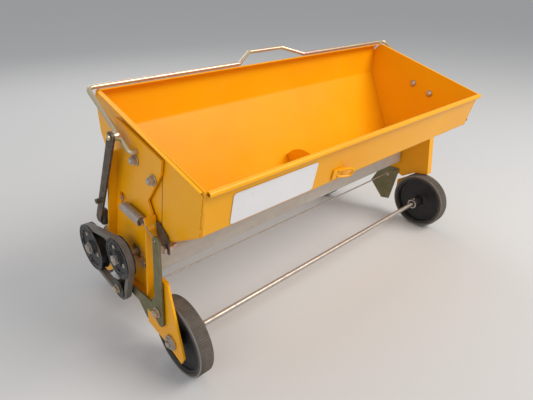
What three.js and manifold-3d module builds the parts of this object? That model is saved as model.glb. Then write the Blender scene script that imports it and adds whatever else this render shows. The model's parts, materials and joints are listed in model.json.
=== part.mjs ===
// Garden spreader: a sheet-metal hopper with a ground-driven feed roller, on four small wheels.
// Millimetres. X runs along the hopper (left is -X), Y towards the rear, Z up.
import * as THREE from 'three';
import { mergeVertices } from 'three/addons/utils/BufferGeometryUtils.js';
import Module from 'manifold-3d';

const wasm = await Module();
wasm.setup();

// ---------------------------------------------------------------- driving dimensions
const gap = 0.3;                 // between fixed pieces that meet
const running = 0.3;             // radial play of a shaft in its bush
const sheet = 1.6;               // hopper sheet
const plate = 3;                 // frames, legs and levers

const hopperLength = 600;        // outside the two end panels
const rimBackY = 139;            // end of the curled rear lip
const rimBackZ = 359;
const rimFrontY = -75;           // top of the front wall
const rimFrontZ = 293;
const backWallY = 154;
const backLipRadius = 13;
const backFoldZ = 303;
const frontFoldY = -61;
const frontFoldZ = 236;
const beadRadius = 4;            // rolled bead of the front rim
const endHem = 4.5;              // turned-out hem of each end panel

const feedY = 88;                // feed roller axis
const feedZ = 151;
const feedRollerRadius = 16;
const feedRollerFlutes = 12;
const fluteRadius = 2.6;
const throatFront = 18;          // from the roller axis forward to the edge of the front slope
const throatRise = 15;           // height of both slope edges above the roller axis
const throatBack = 10;           // from the roller axis back to the edge of the rear slope
const skirtBack = 20;            // from the roller axis back to the rear skirt
const shaftRadius = 5;

const frontWheelY = 0;
const rearWheelY = 240;
const wheelRadius = 56;
const wheelWidth = 21.6;
const tyreThickness = 6;
const axleRadius = 4;
const hubRadius = 10;
const hubLength = 38;
const wheelOffset = 298.6;       // centre of each front wheel from the middle
const rearWheelOffset = 262;

const frameGap = 2;              // frame web to end panel
const flange = 15;               // turned-out flanges of the side frames
const frontLegInset = 12;        // front leg plate outboard of the frame web

const leverStand = 0.8;          // frame flange to the tension lever
const beltGap = 1.2;             // lever to the near side of the pulleys
const pulleyWidth = 13;
const beltWidth = 9;
const beltThickness = 7;
const drivePulleyY = 178;
const drivePulleyZ = 127;
const drivePulleyRadius = 36;
const drivenPulleyRadius = 29;
const idlerY = 101;
const idlerZ = 96;
const idlerRadius = 15;

const sprocketPitch = 6.35;
const rearTeeth = 18;
const driveTeeth = 12;
const sprocketWidth = 3;
const chainWidth = 5.4;
const chainThickness = 4;

const leverPivotY = 20;
const leverPivotZ = 96;
const leverTopY = 1;
const leverTopZ = 218;
const leverHookDrop = 7;
const leverWidth = 14;
const springCoilRadius = 6.3;
const springWire = 1;
const springTurns = 11;
const springLength = 44;
const springHook = 22;           // straight wire between the frame slot and the coils
const springAnchorY = 111;
const springAnchorZ = 225;

const handleRod = 3;             // radius of the bail handle's rod
const handlePivotY = 48;
const handlePivotZ = 305;
const handleReachY = 142;
const handleRest = 1.4;          // handle rod to the rear rim
const handleReachZ = rimBackZ + handleRod + handleRest;
const gripHalf = 37;
const gripRampHalf = 72;
const gripRiseY = 18;
const gripRiseZ = 12;
const linkPivotReach = 28.8;     // clevis from the handle pivot
const linkLength = 161;
const linkWidth = 14;
const linkRollerRadius = 12;
const linkRollerWidth = 10;

const gateHeight = 27;
const gateTravel = 8;
const boltRadius = 3;            // M6 fasteners
const nutAcross = 10;
const washerRadius = 7;

// ---------------------------------------------------------------- places worked out from them
const halfLength = hopperLength / 2;
const webInner = halfLength + frameGap;
const webOuter = webInner + plate;
const flangeOuter = webOuter + flange - plate;
const leftOf = -1;
const rightOf = 1;
const wheelZ = wheelRadius;
const sheetHalf = halfLength - sheet - gap;
const legInner = webInner + frontLegInset - 1;
const legOuter = legInner + plate;
const leverInner = flangeOuter + leverStand;
const leverOuter = leverInner + plate;
const pulleyNear = leverOuter + beltGap;
const pulleyMiddle = pulleyNear + pulleyWidth / 2;
const pulleyFar = pulleyNear + pulleyWidth;
const innerPlateOuter = webInner - gap;
const innerPlateInner = innerPlateOuter - plate;
const rimSlope = (rimBackZ - rimFrontZ) / (rimBackY - rimFrontY);
const rimZ = (y) => rimFrontZ + (y - rimFrontY) * rimSlope;
const rearSprocketRadius = sprocketPitch / (2 * Math.sin(Math.PI / rearTeeth));
const driveSprocketRadius = sprocketPitch / (2 * Math.sin(Math.PI / driveTeeth));
const chainX = innerPlateInner - 4;
const frameBolts = [[54, 293], [17, 279]];

// ---------------------------------------------------------------- finishes
const finish = (color, roughness, metalness) => ({ color, roughness, metalness });
const orangePaint = finish(0xf2a300, 0.35, 0.0);
const zinc = finish(0xb9b3a4, 0.4, 0.85);
const yellowZinc = finish(0xc2ac7a, 0.4, 0.8);
const oliveChromate = finish(0x77704a, 0.45, 0.7);
const darkSteel = finish(0x5a4438, 0.55, 0.6);
const blackPaint = finish(0x17181a, 0.45, 0.2);
const rubber = finish(0x2b2a28, 0.85, 0.0);
const beltRubber = finish(0x4b453e, 0.8, 0.0);
const aluminium = finish(0x9c948a, 0.4, 0.8);
const whiteLabel = finish(0xe9e6e2, 0.5, 0.0);

// ---------------------------------------------------------------- solids
const spreader = new THREE.Group();

function toSolid(geometry) {
  const bare = geometry.index ? geometry.toNonIndexed() : geometry.clone();
  bare.deleteAttribute('normal');
  bare.deleteAttribute('uv');
  const merged = mergeVertices(bare, 1e-4);
  const mesh = new wasm.Mesh({
    numProp: 3,
    vertProperties: new Float32Array(merged.attributes.position.array),
    triVerts: new Uint32Array(merged.index.array),
  });
  return new wasm.Manifold(mesh);
}

function toGeometry(solid) {
  const mesh = solid.getMesh();
  const geometry = new THREE.BufferGeometry();
  geometry.setAttribute('position', new THREE.BufferAttribute(new Float32Array(mesh.vertProperties), 3));
  geometry.setIndex(new THREE.BufferAttribute(new Uint32Array(mesh.triVerts), 1));
  geometry.computeVertexNormals();
  return geometry;
}

const join = (...geometries) => toGeometry(geometries.map(toSolid).reduce((a, b) => a.add(b)));
const cut = (body, ...tools) => toGeometry(tools.map(toSolid).reduce((a, b) => a.subtract(b), toSolid(body)));

function addNode(name, geometry, look) {
  const material = new THREE.MeshStandardMaterial(look);
  const mesh = new THREE.Mesh(geometry, material);
  mesh.name = name;
  spreader.add(mesh);
  return mesh;
}

// An outline in the YZ plane becomes a plate between two X values.
const yzToWorld = new THREE.Matrix4().makeBasis(
  new THREE.Vector3(0, 1, 0), new THREE.Vector3(0, 0, 1), new THREE.Vector3(1, 0, 0));

function plateX(outline, xa, xb) {
  const low = Math.min(xa, xb);
  const points = outline.map(([y, z]) => new THREE.Vector2(y, z));
  const shape = new THREE.Shape(points);
  const geometry = new THREE.ExtrudeGeometry(shape, { depth: Math.abs(xb - xa), bevelEnabled: false });
  return geometry.applyMatrix4(yzToWorld).translate(low, 0, 0);
}

// The outline of a strip of sheet that follows a path, half its thickness to each side.
function stripOutline(path, thickness) {
  const near = [];
  const far = [];
  path.forEach((point, i) => {
    const before = path[Math.max(i - 1, 0)];
    const after = path[Math.min(i + 1, path.length - 1)];
    const into = new THREE.Vector2(point[0] - before[0], point[1] - before[1]).normalize();
    const outOf = new THREE.Vector2(after[0] - point[0], after[1] - point[1]).normalize();
    const along = into.clone().add(outOf).normalize();
    const spread = i === 0 || i === path.length - 1 ? 1 : Math.max(along.dot(outOf), 0.5);
    const reach = thickness / 2 / spread;
    near.push([point[0] - along.y * reach, point[1] + along.x * reach]);
    far.push([point[0] + along.y * reach, point[1] - along.x * reach]);
  });
  return near.concat(far.reverse());
}

const sheetX = (path, thickness, xa, xb) => plateX(stripOutline(path, thickness), xa, xb);

function cylinderX(radius, xa, xb, y, z, sides = 20) {
  const geometry = new THREE.CylinderGeometry(radius, radius, Math.abs(xb - xa), sides);
  return geometry.rotateZ(Math.PI / 2).translate((xa + xb) / 2, y, z);
}

// A profile of [x, radius] points turned about an axis along X.
function turnedX(profile, y, z, sides = 32) {
  const points = profile.map(([x, radius]) => new THREE.Vector2(radius, x));
  points.push(points[0].clone());
  const geometry = new THREE.LatheGeometry(points, sides);
  const area = profile.reduce((sum, [x, radius], i) => {
    const [nextX, nextRadius] = profile[(i + 1) % profile.length];
    return sum + radius * nextX - nextRadius * x;
  }, 0);
  if (area < 0) {
    const index = geometry.index.array;
    for (let i = 0; i < index.length; i += 3) [index[i], index[i + 1]] = [index[i + 1], index[i]];
  }
  return geometry.rotateZ(-Math.PI / 2).translate(0, y, z);
}

function box(xa, xb, ya, yb, za, zb) {
  const geometry = new THREE.BoxGeometry(Math.abs(xb - xa), Math.abs(yb - ya), Math.abs(zb - za));
  return geometry.translate((xa + xb) / 2, (ya + yb) / 2, (za + zb) / 2);
}

const hexX = (across, xa, xb, y, z) => cylinderX(across / Math.sqrt(3), xa, xb, y, z, 6);

function arc(centreY, centreZ, radius, from, to, steps) {
  return Array.from({ length: steps + 1 }, (_, i) => {
    const angle = THREE.MathUtils.degToRad(from + ((to - from) * i) / steps);
    return [centreY + radius * Math.cos(angle), centreZ + radius * Math.sin(angle)];
  });
}

// A round rod along a curve.
function rodAlong(curve, radius, sides, steps) {
  const section = new THREE.Shape();
  for (let i = 0; i < sides; i += 1) {
    const angle = (2 * Math.PI * i) / sides;
    const x = radius * Math.cos(angle);
    const y = radius * Math.sin(angle);
    if (i === 0) section.moveTo(x, y);
    else section.lineTo(x, y);
  }
  return new THREE.ExtrudeGeometry(section, { steps, bevelEnabled: false, extrudePath: curve });
}

// A smooth path through corners, each corner rounded to a bend radius.
function bentPath(corners, bendRadius) {
  const path = new THREE.CurvePath();
  let start = corners[0].clone();
  for (let i = 1; i < corners.length - 1; i += 1) {
    const into = corners[i].clone().sub(corners[i - 1]).normalize();
    const outOf = corners[i + 1].clone().sub(corners[i]).normalize();
    const bend = Math.min(
      bendRadius * Math.tan(into.angleTo(outOf) / 2),
      corners[i].distanceTo(corners[i - 1]) * 0.45,
      corners[i].distanceTo(corners[i + 1]) * 0.45);
    const enter = corners[i].clone().addScaledVector(into, -bend);
    const leave = corners[i].clone().addScaledVector(outOf, bend);
    path.add(new THREE.LineCurve3(start, enter));
    path.add(new THREE.QuadraticBezierCurve3(enter, corners[i].clone(), leave));
    start = leave;
  }
  path.add(new THREE.LineCurve3(start, corners[corners.length - 1].clone()));
  return path;
}

// The points of a bent path, closer together where it turns.
function pathPoints(path, bendSteps) {
  const points = [];
  path.curves.forEach((curve) => {
    const steps = curve.isQuadraticBezierCurve3 ? bendSteps : 1;
    for (let i = points.length ? 1 : 0; i <= steps; i += 1) points.push(curve.getPoint(i / steps));
  });
  return points;
}

// A rod with its rings placed at the path's own points, so long straight runs stay light.
class PolylineCurve extends THREE.Curve {
  constructor(points) {
    super();
    this.points = points;
  }

  getPoint(t, target = new THREE.Vector3()) {
    const last = this.points.length - 1;
    const at = Math.min(t * last, last - 1e-9);
    const i = Math.max(Math.floor(at), 0);
    return target.lerpVectors(this.points[i], this.points[i + 1], at - i);
  }

  getPointAt(t, target) {
    return this.getPoint(t, target);
  }

  getTangent(t, target = new THREE.Vector3()) {
    const last = this.points.length - 1;
    const i = Math.round(t * last);
    const before = this.points[Math.max(i - 1, 0)];
    const after = this.points[Math.min(i + 1, last)];
    return target.copy(after).sub(before).normalize();
  }

  getTangentAt(t, target) {
    return this.getTangent(t, target);
  }
}

function bentRod(corners, radius, bendRadius, sides = 10, bendSteps = 6) {
  const points = pathPoints(bentPath(corners, bendRadius), bendSteps);
  return rodAlong(new PolylineCurve(points), radius, sides, points.length - 1);
}

// The smallest loop around some circles, as a list of outline points.
function loopAround(circles, grow, samples = 48) {
  const cloud = circles.flatMap(([y, z, radius]) => arc(y, z, radius + grow, 0, 360, samples).slice(1));
  cloud.sort((a, b) => a[0] - b[0] || a[1] - b[1]);
  const turn = (a, b, c) => (b[0] - a[0]) * (c[1] - a[1]) - (b[1] - a[1]) * (c[0] - a[0]);
  const half = (points) => points.reduce((hull, point) => {
    while (hull.length > 1 && turn(hull.at(-2), hull.at(-1), point) <= 1e-6) hull.pop();
    hull.push(point);
    return hull;
  }, []);
  const lower = half(cloud);
  const upper = half([...cloud].reverse());
  return lower.slice(0, -1).concat(upper.slice(0, -1));
}

const band = (circles, inner, outer, xa, xb) => cut(
  plateX(loopAround(circles, outer), xa, xb),
  plateX(loopAround(circles, inner), Math.min(xa, xb) - 1, Math.max(xa, xb) + 1));

const vector = (x, y, z) => new THREE.Vector3(x, y, z);
const sides = [['left', leftOf], ['right', rightOf]];

// ---------------------------------------------------------------- hopper
const throatFrontY = feedY - throatFront;
const throatBackY = feedY + throatBack;
const throatZ = feedZ + throatRise;
const throatBackZ = throatZ + 7;
const skirtY = feedY + skirtBack;

function makeHopper() {
  const lip = arc(backWallY - backLipRadius, rimBackZ - backLipRadius, backLipRadius, 98, 0, 6);
  const backPath = [
    ...lip,
    [backWallY, backFoldZ],
    [throatBackY, throatBackZ],
    [skirtY, throatZ - 1],
    [skirtY, feedZ - feedRollerRadius + 4],
  ];
  addNode('hopper_back_sheet', sheetX(backPath, sheet, -sheetHalf, sheetHalf), orangePaint);

  const beadY = rimFrontY - beadRadius;
  const bead = arc(beadY, rimFrontZ - 1, beadRadius - sheet / 2, 345, 20, 14);
  const frontPath = [
    ...bead,
    [rimFrontY + 1.4, rimFrontZ - 5],
    [frontFoldY, frontFoldZ],
    [throatFrontY, throatZ],
    [throatFrontY + 1, throatZ - 4],
  ];
  addNode('hopper_front_sheet', sheetX(frontPath, sheet, -sheetHalf, sheetHalf), orangePaint);
}

makeHopper();

// Each end panel follows the hopper's section, inside the two sheets' outer faces.
function endPanelOutline() {
  return [
    [rimFrontY - 3, rimZ(rimFrontY - 3) + 2],
    [rimBackY, rimBackZ],
    [backWallY - 1, rimBackZ - backLipRadius],
    [backWallY, backFoldZ],
    [throatBackY, throatBackZ + 1],
    [throatFrontY, throatZ + 1],
    [frontFoldY, frontFoldZ],
    [rimFrontY, rimFrontZ - 6],
  ];
}

function makeEndPanels() {
  sides.forEach(([side, s]) => {
    const outer = s * halfLength;
    const inner = s * (halfLength - sheet + 0.2);
    const hemPath = [[rimFrontY + 2, rimZ(rimFrontY + 2)], [rimBackY - 4, rimZ(rimBackY - 4)]];
    const hem = sheetX(hemPath, sheet, inner, s * (halfLength + endHem));
    const panel = join(plateX(endPanelOutline(), inner, outer), hem);
    const hole = ([y, z]) => cylinderX(boltRadius + gap, inner - s * 2, outer + s * 2, y, z);
    const holes = frameBolts.map(hole);
    addNode(`hopper_end_${side}`, cut(panel, ...holes), orangePaint);
  });
}

makeEndPanels();

// A rounded gusset ties the two slopes together across the hopper, a little right of its middle.
const gussetX = 6;
const gussetRadius = 52;
const gussetAxisY = feedY - 16;
const gussetAxisZ = throatBackZ - 3;
const gussetFoot = throatBackZ + 3;

function makeGusset() {
  const clear = sheet / 2 + gap;
  const lean = (from, to) => (to[0] - from[0]) / (to[1] - from[1]);
  const rearLean = lean([throatBackY, throatBackZ], [backWallY, backFoldZ]);
  const frontLean = lean([throatFrontY, throatZ], [frontFoldY, frontFoldZ]);
  const rearAt = (z) => [throatBackY + (z - throatBackZ) * rearLean - clear * Math.hypot(1, rearLean), z];
  const frontAt = (z) => [throatFrontY + (z - throatZ) * frontLean + clear * Math.hypot(1, frontLean), z];
  const low = gussetAxisZ - gussetRadius - 1;
  const high = gussetAxisZ + gussetRadius + 1;
  const far = 4 * gussetRadius;
  const xa = gussetX - sheet / 2;
  const xb = gussetX + sheet / 2;
  const fore = feedY - far;
  const aft = feedY + far;
  const behind = plateX([rearAt(low), [aft, low], [aft, high], rearAt(high)], xa - 1, xb + 1);
  const ahead = plateX([frontAt(high), [fore, high], [fore, low], frontAt(low)], xa - 1, xb + 1);
  const under = box(xa - 1, xb + 1, fore, aft, low, gussetFoot);
  const disc = cylinderX(gussetRadius, xa, xb, gussetAxisY, gussetAxisZ, 40);
  addNode('hopper_gusset', cut(disc, behind, ahead, under), orangePaint);
}

makeGusset();

// The front wall leans back; what is fixed to it is placed along the wall and stood off it.
const wallStart = [rimFrontY + 1.4, rimFrontZ - 5];
const wallAlong = new THREE.Vector2(frontFoldY - wallStart[0], frontFoldZ - wallStart[1]);
const wallDrop = wallAlong.length();
wallAlong.normalize();
const onWall = (drop, stand) => [
  wallStart[0] + wallAlong.x * drop + wallAlong.y * (stand + sheet / 2),
  wallStart[1] + wallAlong.y * drop - wallAlong.x * (stand + sheet / 2),
];

const labelLeft = -261;
const labelRight = -125.5;
const labelThickness = 0.6;

function makeLabel() {
  const top = 9;
  const bottom = wallDrop - 2;
  const outline = [
    onWall(top, gap),
    onWall(bottom, gap),
    onWall(bottom, gap + labelThickness),
    onWall(top, gap + labelThickness),
  ];
  addNode('blank_label', plateX(outline, labelLeft, labelRight), whiteLabel);
}

makeLabel();

// A bent rod ring on a small foot plate, low on the front wall.
const ringLeft = -88;
const ringRight = -54;
const ringStand = 10;

function makeFrontRing() {
  const footTop = wallDrop - 20;
  const footBottom = wallDrop - 5;
  const foot = plateX([
    onWall(footTop, gap),
    onWall(footBottom, gap),
    onWall(footBottom, gap + 2),
    onWall(footTop, gap + 2),
  ], ringLeft, ringRight - 14);
  const at = (x, drop, stand) => vector(x, ...onWall(drop, stand));
  const ring = bentRod([
    at(ringRight - 24, footTop + 4, 1.8),
    at(ringRight - 16, footTop + 2, 4),
    at(ringRight - 3, footTop + 2, ringStand - 1.5),
    at(ringRight, footTop + 7, ringStand),
    at(ringRight - 3, footBottom - 1, ringStand - 1.5),
    at(ringRight - 16, footBottom - 1, 4),
    at(ringRight - 24, footBottom - 3, 1.8),
  ], 2, 6, 8, 4);
  addNode('front_ring', join(foot, ring), orangePaint);
}

makeFrontRing();

// ---------------------------------------------------------------- side frames and legs
const webTopFront = [-6, 309];
const webShoulder = [0, 290];
const webNotch = [38, 245];
const webThroat = [27, 217];
const webBottomFront = [50, 94];
const webBottomRear = [112, 90];
const webHeel = [150, 150];
const webRear = [104, 292];
const webTopRear = [92, 336];
const wideFront = [[8, 245], [1, 188], [-6, 114.5]];   // the right frame has no throat
const wideArch = [22, 110.5];    // its lower edge clears the front wheel
const wideBottomRear = [107, 111];
const shaftHole = 11;
const shrink = plate / 2;
const inward = ([y, z], dy, dz) => [y + dy * shrink, z + dz * shrink];

function flangeStrip(path, s) {
  return sheetX(path, plate, s * (webInner + 0.01), s * flangeOuter);
}

const rearRim = (bottomRear) => [
  inward(bottomRear, -0.6, 1), inward(webHeel, -1.1, 0), inward(webRear, -1, 0),
];

function leftRims() {
  return [[
    inward([webThroat[0] + 1, webThroat[1] + 12], 1, 0),
    inward(webThroat, 1, 0),
    inward(webBottomFront, 1, 1),
    ...rearRim(webBottomRear),
  ]];
}

function rightRims() {
  return [
    wideFront.map((point) => inward(point, 1, 0)),
    [inward(webBottomFront, 8, 2), ...rearRim(wideBottomRear)],
  ];
}

function makeSideFrame(side, s) {
  const front = s === leftOf ? [webNotch, webThroat] : [...wideFront, wideArch];
  const bottomRear = s === leftOf ? webBottomRear : wideBottomRear;
  const web = plateX([
    webTopFront, webShoulder, ...front, webBottomFront, bottomRear, webHeel, webRear, webTopRear,
  ], s * webInner, s * webOuter);
  const rims = (s === leftOf ? leftRims() : rightRims()).map((path) => flangeStrip(path, s));
  const tab = plateX([
    [webHeel[0] - 3, webHeel[1]],
    [webHeel[0] + 13, webHeel[1] - 1],
    [webHeel[0] + 13, webHeel[1] + 2],
    [webHeel[0] - 3, webHeel[1] + 3],
  ], s * (flangeOuter - 8), s * flangeOuter);
  const through = (radius, y, z) => cylinderX(radius, s * (webInner - 2), s * (flangeOuter + 2), y, z);
  const cuts = [
    ...frameBolts.map(([y, z]) => through(boltRadius + gap, y, z)),
    through(shaftHole, feedY, feedZ),
    through(handleRod + gap, handlePivotY, handlePivotZ),
    through(boltRadius + gap, gateBoltY, gateBoltZ),
  ];
  if (s === leftOf) {
    const slot = box(s * (webInner - 1), s * (webOuter + 1), springAnchorY - 14, springAnchorY + 3,
      springAnchorZ - 14, springAnchorZ + 8);
    const window = box(s * (webOuter + 1), s * (flangeOuter + 1), webThroat[0] - 6, webThroat[0] + 10,
      springLineZ(webThroat[0]) - 4.5, springLineZ(webThroat[0]) + 4.5);
    cuts.push(slot, window);
  }
  addNode(`side_frame_${side}`, cut(join(web, ...rims, tab), ...cuts), orangePaint);
}

const gateBoltY = 66;
const gateBoltZ = 142;
const springLineZ = (y) => {
  const bottomZ = leverTopZ - leverHookDrop;
  return bottomZ + ((springAnchorZ - bottomZ) * (y - leverTopY)) / (springAnchorY - leverTopY);
};

sides.forEach(([side, s]) => makeSideFrame(side, s));

// Each front leg is a plate outboard of its frame. The left one is joggled in to a foot behind the
// web, the right one to a foot on the web's outer face, inside the frame's channel.
const legFootBottom = Math.max(wheelZ + wheelRadius + 6, leverPivotZ + washerRadius + 15);
const legFootTop = legFootBottom + 14;
const legTop = legFootTop + 18;
const legReturnY = 24;
const legNeckZ = wheelZ + 50;
const bushRadius = 8;

function makeFrontLeg(side, s) {
  const inFrame = s === rightOf;
  const neck = inFrame ? [[-14, legNeckZ], [6, legNeckZ], [6, legTop]] : [[-6.5, legTop]];
  const heel = inFrame ? [[66, wheelZ + 22], [68, wheelZ - 18]] : [[58, wheelZ + 22], [60, wheelZ - 4]];
  const outline = [
    ...neck, [legReturnY - 2, legTop], [legReturnY - 2, leverPivotZ + 14], [38, leverPivotZ],
    ...heel, [14, wheelZ - 12], [-19, wheelZ - 25], [-26.5, wheelZ - 12],
  ].map(([y, z]) => [y + frontWheelY, z]);
  const skin = plateX(outline, s * legInner, s * legOuter);
  const footInner = inFrame ? webOuter + gap : innerPlateInner;
  const footOuter = footInner + plate;
  const back = box(s * (footInner + 0.01), s * legOuter, legReturnY - plate, legReturnY,
    legFootBottom, legFootTop);
  const foot = box(s * footInner, s * footOuter, legReturnY - 1, 50, legFootBottom, legFootTop);
  const holes = [
    cylinderX(bushRadius + gap, s * (legInner - 2), s * (legOuter + 2), frontWheelY, wheelZ),
    cylinderX(boltRadius + gap, s * (legInner - 2), s * (legOuter + 2), leverPivotY, leverPivotZ),
  ];
  addNode(`front_leg_${side}`, cut(join(skin, back, foot), ...holes), orangePaint);
}

sides.forEach(([side, s]) => makeFrontLeg(side, s));

// The rear leg carries the rear axle and, on the left, the drive shaft.
function makeRearLeg(side, s) {
  const nose = arc(rearWheelY, wheelZ, 18, -110, 40, 6);
  const outline = [
    [108, 118], [108, 157], [150, 160], [drivePulleyY + 12, drivePulleyZ + 20],
    ...[...nose].reverse(), [150, 92],
  ];
  const clear = 2;
  const through = (radius, y, z) => cylinderX(
    radius, s * (innerPlateInner - clear), s * (innerPlateOuter + clear), y, z);
  const holes = [through(axleRadius + 2 + gap, rearWheelY, wheelZ)];
  if (s === leftOf) holes.push(through(shaftRadius + 2 + gap, drivePulleyY, drivePulleyZ));
  const skin = plateX(outline, s * innerPlateInner, s * innerPlateOuter);
  addNode(`rear_leg_${side}`, cut(skin, ...holes), orangePaint);
}

sides.forEach(([side, s]) => makeRearLeg(side, s));

// Chromated plates under each end keep the material inside the track.
const wireY = 70;
const wireZ = 103;
const wireRadius = 1.3;

sides.forEach(([side, s]) => {
  const outline = [[58, 108], [100, 108], [126, 62], [94, 28], [75, 32]];
  const skin = plateX(outline, s * (innerPlateOuter - 2), s * innerPlateOuter);
  const hole = cylinderX(
    wireRadius + gap, s * (innerPlateOuter - 4), s * (innerPlateOuter + 2), wireY, wireZ, 8);
  addNode(`deflector_${side}`, cut(skin, hole), oliveChromate);
});

const wireHalf = innerPlateOuter - 0.5;
addNode('levelling_wire', cylinderX(wireRadius, -wireHalf, wireHalf, wireY, wireZ, 8), zinc);

// ---------------------------------------------------------------- fixed fasteners and bushes
// Dome head inside the hopper, washer and nut outside the frame.
function frameBolt(s, y, z) {
  const headInner = halfLength - sheet + 0.2 - gap;
  const head = turnedX([
    [s * headInner, 0], [s * headInner, 6.5], [s * (headInner - 1.4), 6.2],
    [s * (headInner - 3), 4.2], [s * (headInner - 3.8), 0],
  ], y, z, 12);
  const shank = cylinderX(boltRadius, s * (headInner - 1), s * (webOuter + 9), y, z, 8);
  const washer = cylinderX(washerRadius, s * (webOuter + gap), s * (webOuter + gap + 1.4), y, z, 12);
  const nut = hexX(nutAcross, s * (webOuter + gap + 1.2), s * (webOuter + gap + 6.4), y, z);
  return join(head, shank, washer, nut);
}

sides.forEach(([side, s]) => {
  frameBolts.forEach(([y, z], i) => {
    const end = i === 0 ? 'rear' : 'front';
    addNode(`frame_bolt_${side}_${end}`, frameBolt(s, y, z), zinc);
  });
});

// A flanged bush sits in a plate from its outer face.
function flangedBush(s, plateFace, boreRadius, bodyRadius, flangeRadius, y, z, reach) {
  const start = plateFace + gap;
  return turnedX([
    [s * start, boreRadius], [s * start, flangeRadius], [s * (start + 3), flangeRadius],
    [s * (start + 3), bodyRadius], [s * (start + reach), bodyRadius], [s * (start + reach), boreRadius],
  ], y, z, 16);
}

sides.forEach(([side, s]) => {
  const feedFace = innerPlateInner - gap;
  addNode(`feed_bearing_${side}`, turnedX([
    [s * innerPlateOuter, shaftRadius + running], [s * innerPlateOuter, 14], [s * (feedFace - 1), 14],
    [s * (feedFace - 1), shaftRadius + running],
  ], feedY, feedZ, 24), zinc);
  const axleBush = (face, y, reach) => flangedBush(
    s, face, axleRadius + running, bushRadius, bushRadius + 3, y, wheelZ, reach);
  addNode(`front_bush_${side}`, axleBush(legOuter, frontWheelY, 5), zinc);
  addNode(`rear_bush_${side}`, axleBush(innerPlateOuter, rearWheelY, 6), zinc);
});
addNode('drive_bearing', flangedBush(leftOf, innerPlateOuter, shaftRadius + running, shaftRadius + 4,
  shaftRadius + 9, drivePulleyY, drivePulleyZ, 12), zinc);

const leverBore = boltRadius + 1;
addNode('lever_pivot_bolt', join(
  cylinderX(boltRadius, -(legInner - 2), -(leverOuter + 4), leverPivotY, leverPivotZ, 12),
  cylinderX(washerRadius, -(legInner - gap), -(legInner - 2.4), leverPivotY, leverPivotZ, 16),
  cylinderX(washerRadius, -(legOuter + gap), -(leverInner - gap), leverPivotY, leverPivotZ, 20),
  hexX(nutAcross, -(leverOuter + gap), -(leverOuter + 5.5), leverPivotY, leverPivotZ),
), yellowZinc);

// ---------------------------------------------------------------- metering gate
const gateFace = 59;
const gateEnd = innerPlateInner - 1.2;
const gateTop = feedZ + 2;
const slotHalf = boltRadius + gap;

function makeGate() {
  const bottom = gateTop - gateHeight;
  const skin = sheetX([
    [gateFace + 4, gateTop + 4], [gateFace, gateTop - 1], [gateFace, bottom + 2], [gateFace + 6, bottom - 3],
  ], sheet, -gateEnd, gateEnd);
  const ears = sides.map(([, s]) => box(s * (gateEnd - sheet), s * gateEnd, gateFace, gateFace + 10,
    bottom, gateTop - 1));
  const slotFoot = gateBoltZ - slotHalf - gateTravel - 0.4;
  const slots = sides.map(([, s]) => box(s * (gateEnd - 3), s * (gateEnd + 1),
    gateBoltY - slotHalf, gateBoltY + slotHalf, slotFoot, gateBoltZ + slotHalf));
  addNode('gate_plate', cut(join(skin, ...ears), ...slots), aluminium);
}

makeGate();

sides.forEach(([side, s]) => addNode(`gate_bolt_${side}`, join(
  cylinderX(boltRadius, s * (gateEnd - sheet - 6), s * (webOuter + 3), gateBoltY, gateBoltZ, 16),
  hexX(nutAcross, s * (webOuter + gap), s * (webOuter + 4.6), gateBoltY, gateBoltZ),
  hexX(9, s * (gateEnd - sheet - gap), s * (gateEnd - sheet - 5), gateBoltY, gateBoltZ),
), yellowZinc));

// ---------------------------------------------------------------- wheels and axles
function tyre(centreX, y) {
  const inner = wheelRadius - tyreThickness;
  const half = wheelWidth / 2;
  return turnedX([
    [centreX - half, inner], [centreX - half, wheelRadius - 3], [centreX - half + 2.5, wheelRadius],
    [centreX + half - 2.5, wheelRadius], [centreX + half, wheelRadius - 3], [centreX + half, inner],
  ], y, wheelZ, 40);
}

const screwRadius = 2.5;
const screwInset = 5;           // set screw from the inner end of the boss

const webFace = 1;              // wheel's middle plane to the inner face of the hub's web
const webThick = 3.5;

// A dish on each side, deeper on the inner one, where a long boss takes the set screw.
function hub(centreX, y, s) {
  const rimOuter = wheelRadius - tyreThickness - gap;
  const half = wheelWidth / 2 - 1;
  const at = (x) => centreX + s * x;
  const body = turnedX([
    [at(half), rimOuter], [at(half), rimOuter - 3.5], [at(webFace + webThick), rimOuter - 5.5],
    [at(webFace + webThick), hubRadius - 1], [at(half - 3), hubRadius - 1],
    [at(half - 3), axleRadius + gap], [at(half - 3 - hubLength), axleRadius + gap],
    [at(half - 3 - hubLength), hubRadius], [at(webFace), hubRadius],
    [at(webFace), rimOuter - 5.5], [at(-half), rimOuter - 3.5], [at(-half), rimOuter],
  ], y, wheelZ, 28);
  const screwX = at(half - 3 - hubLength + screwInset);
  const depth = hubRadius + 2;
  const drill = new THREE.CylinderGeometry(screwRadius + gap, screwRadius + gap, depth, 12)
    .translate(0, axleRadius + 0.1 + depth / 2, 0)
    .rotateX(Math.PI / 2)
    .translate(screwX, y, wheelZ);
  return cut(body, drill);
}

function setScrew(centreX, y, s) {
  const screwX = centreX + s * (wheelWidth / 2 - 4 - hubLength + screwInset);
  const length = hubRadius - axleRadius + 1;
  return new THREE.CylinderGeometry(screwRadius, screwRadius, length, 12)
    .translate(0, axleRadius + 0.4 + length / 2, 0)
    .rotateX(Math.PI / 2)
    .translate(screwX, y, wheelZ);
}

const frontAxleHalf = legOuter + gap + 8;
const rearAxleHalf = innerPlateOuter + gap + 9;

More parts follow.
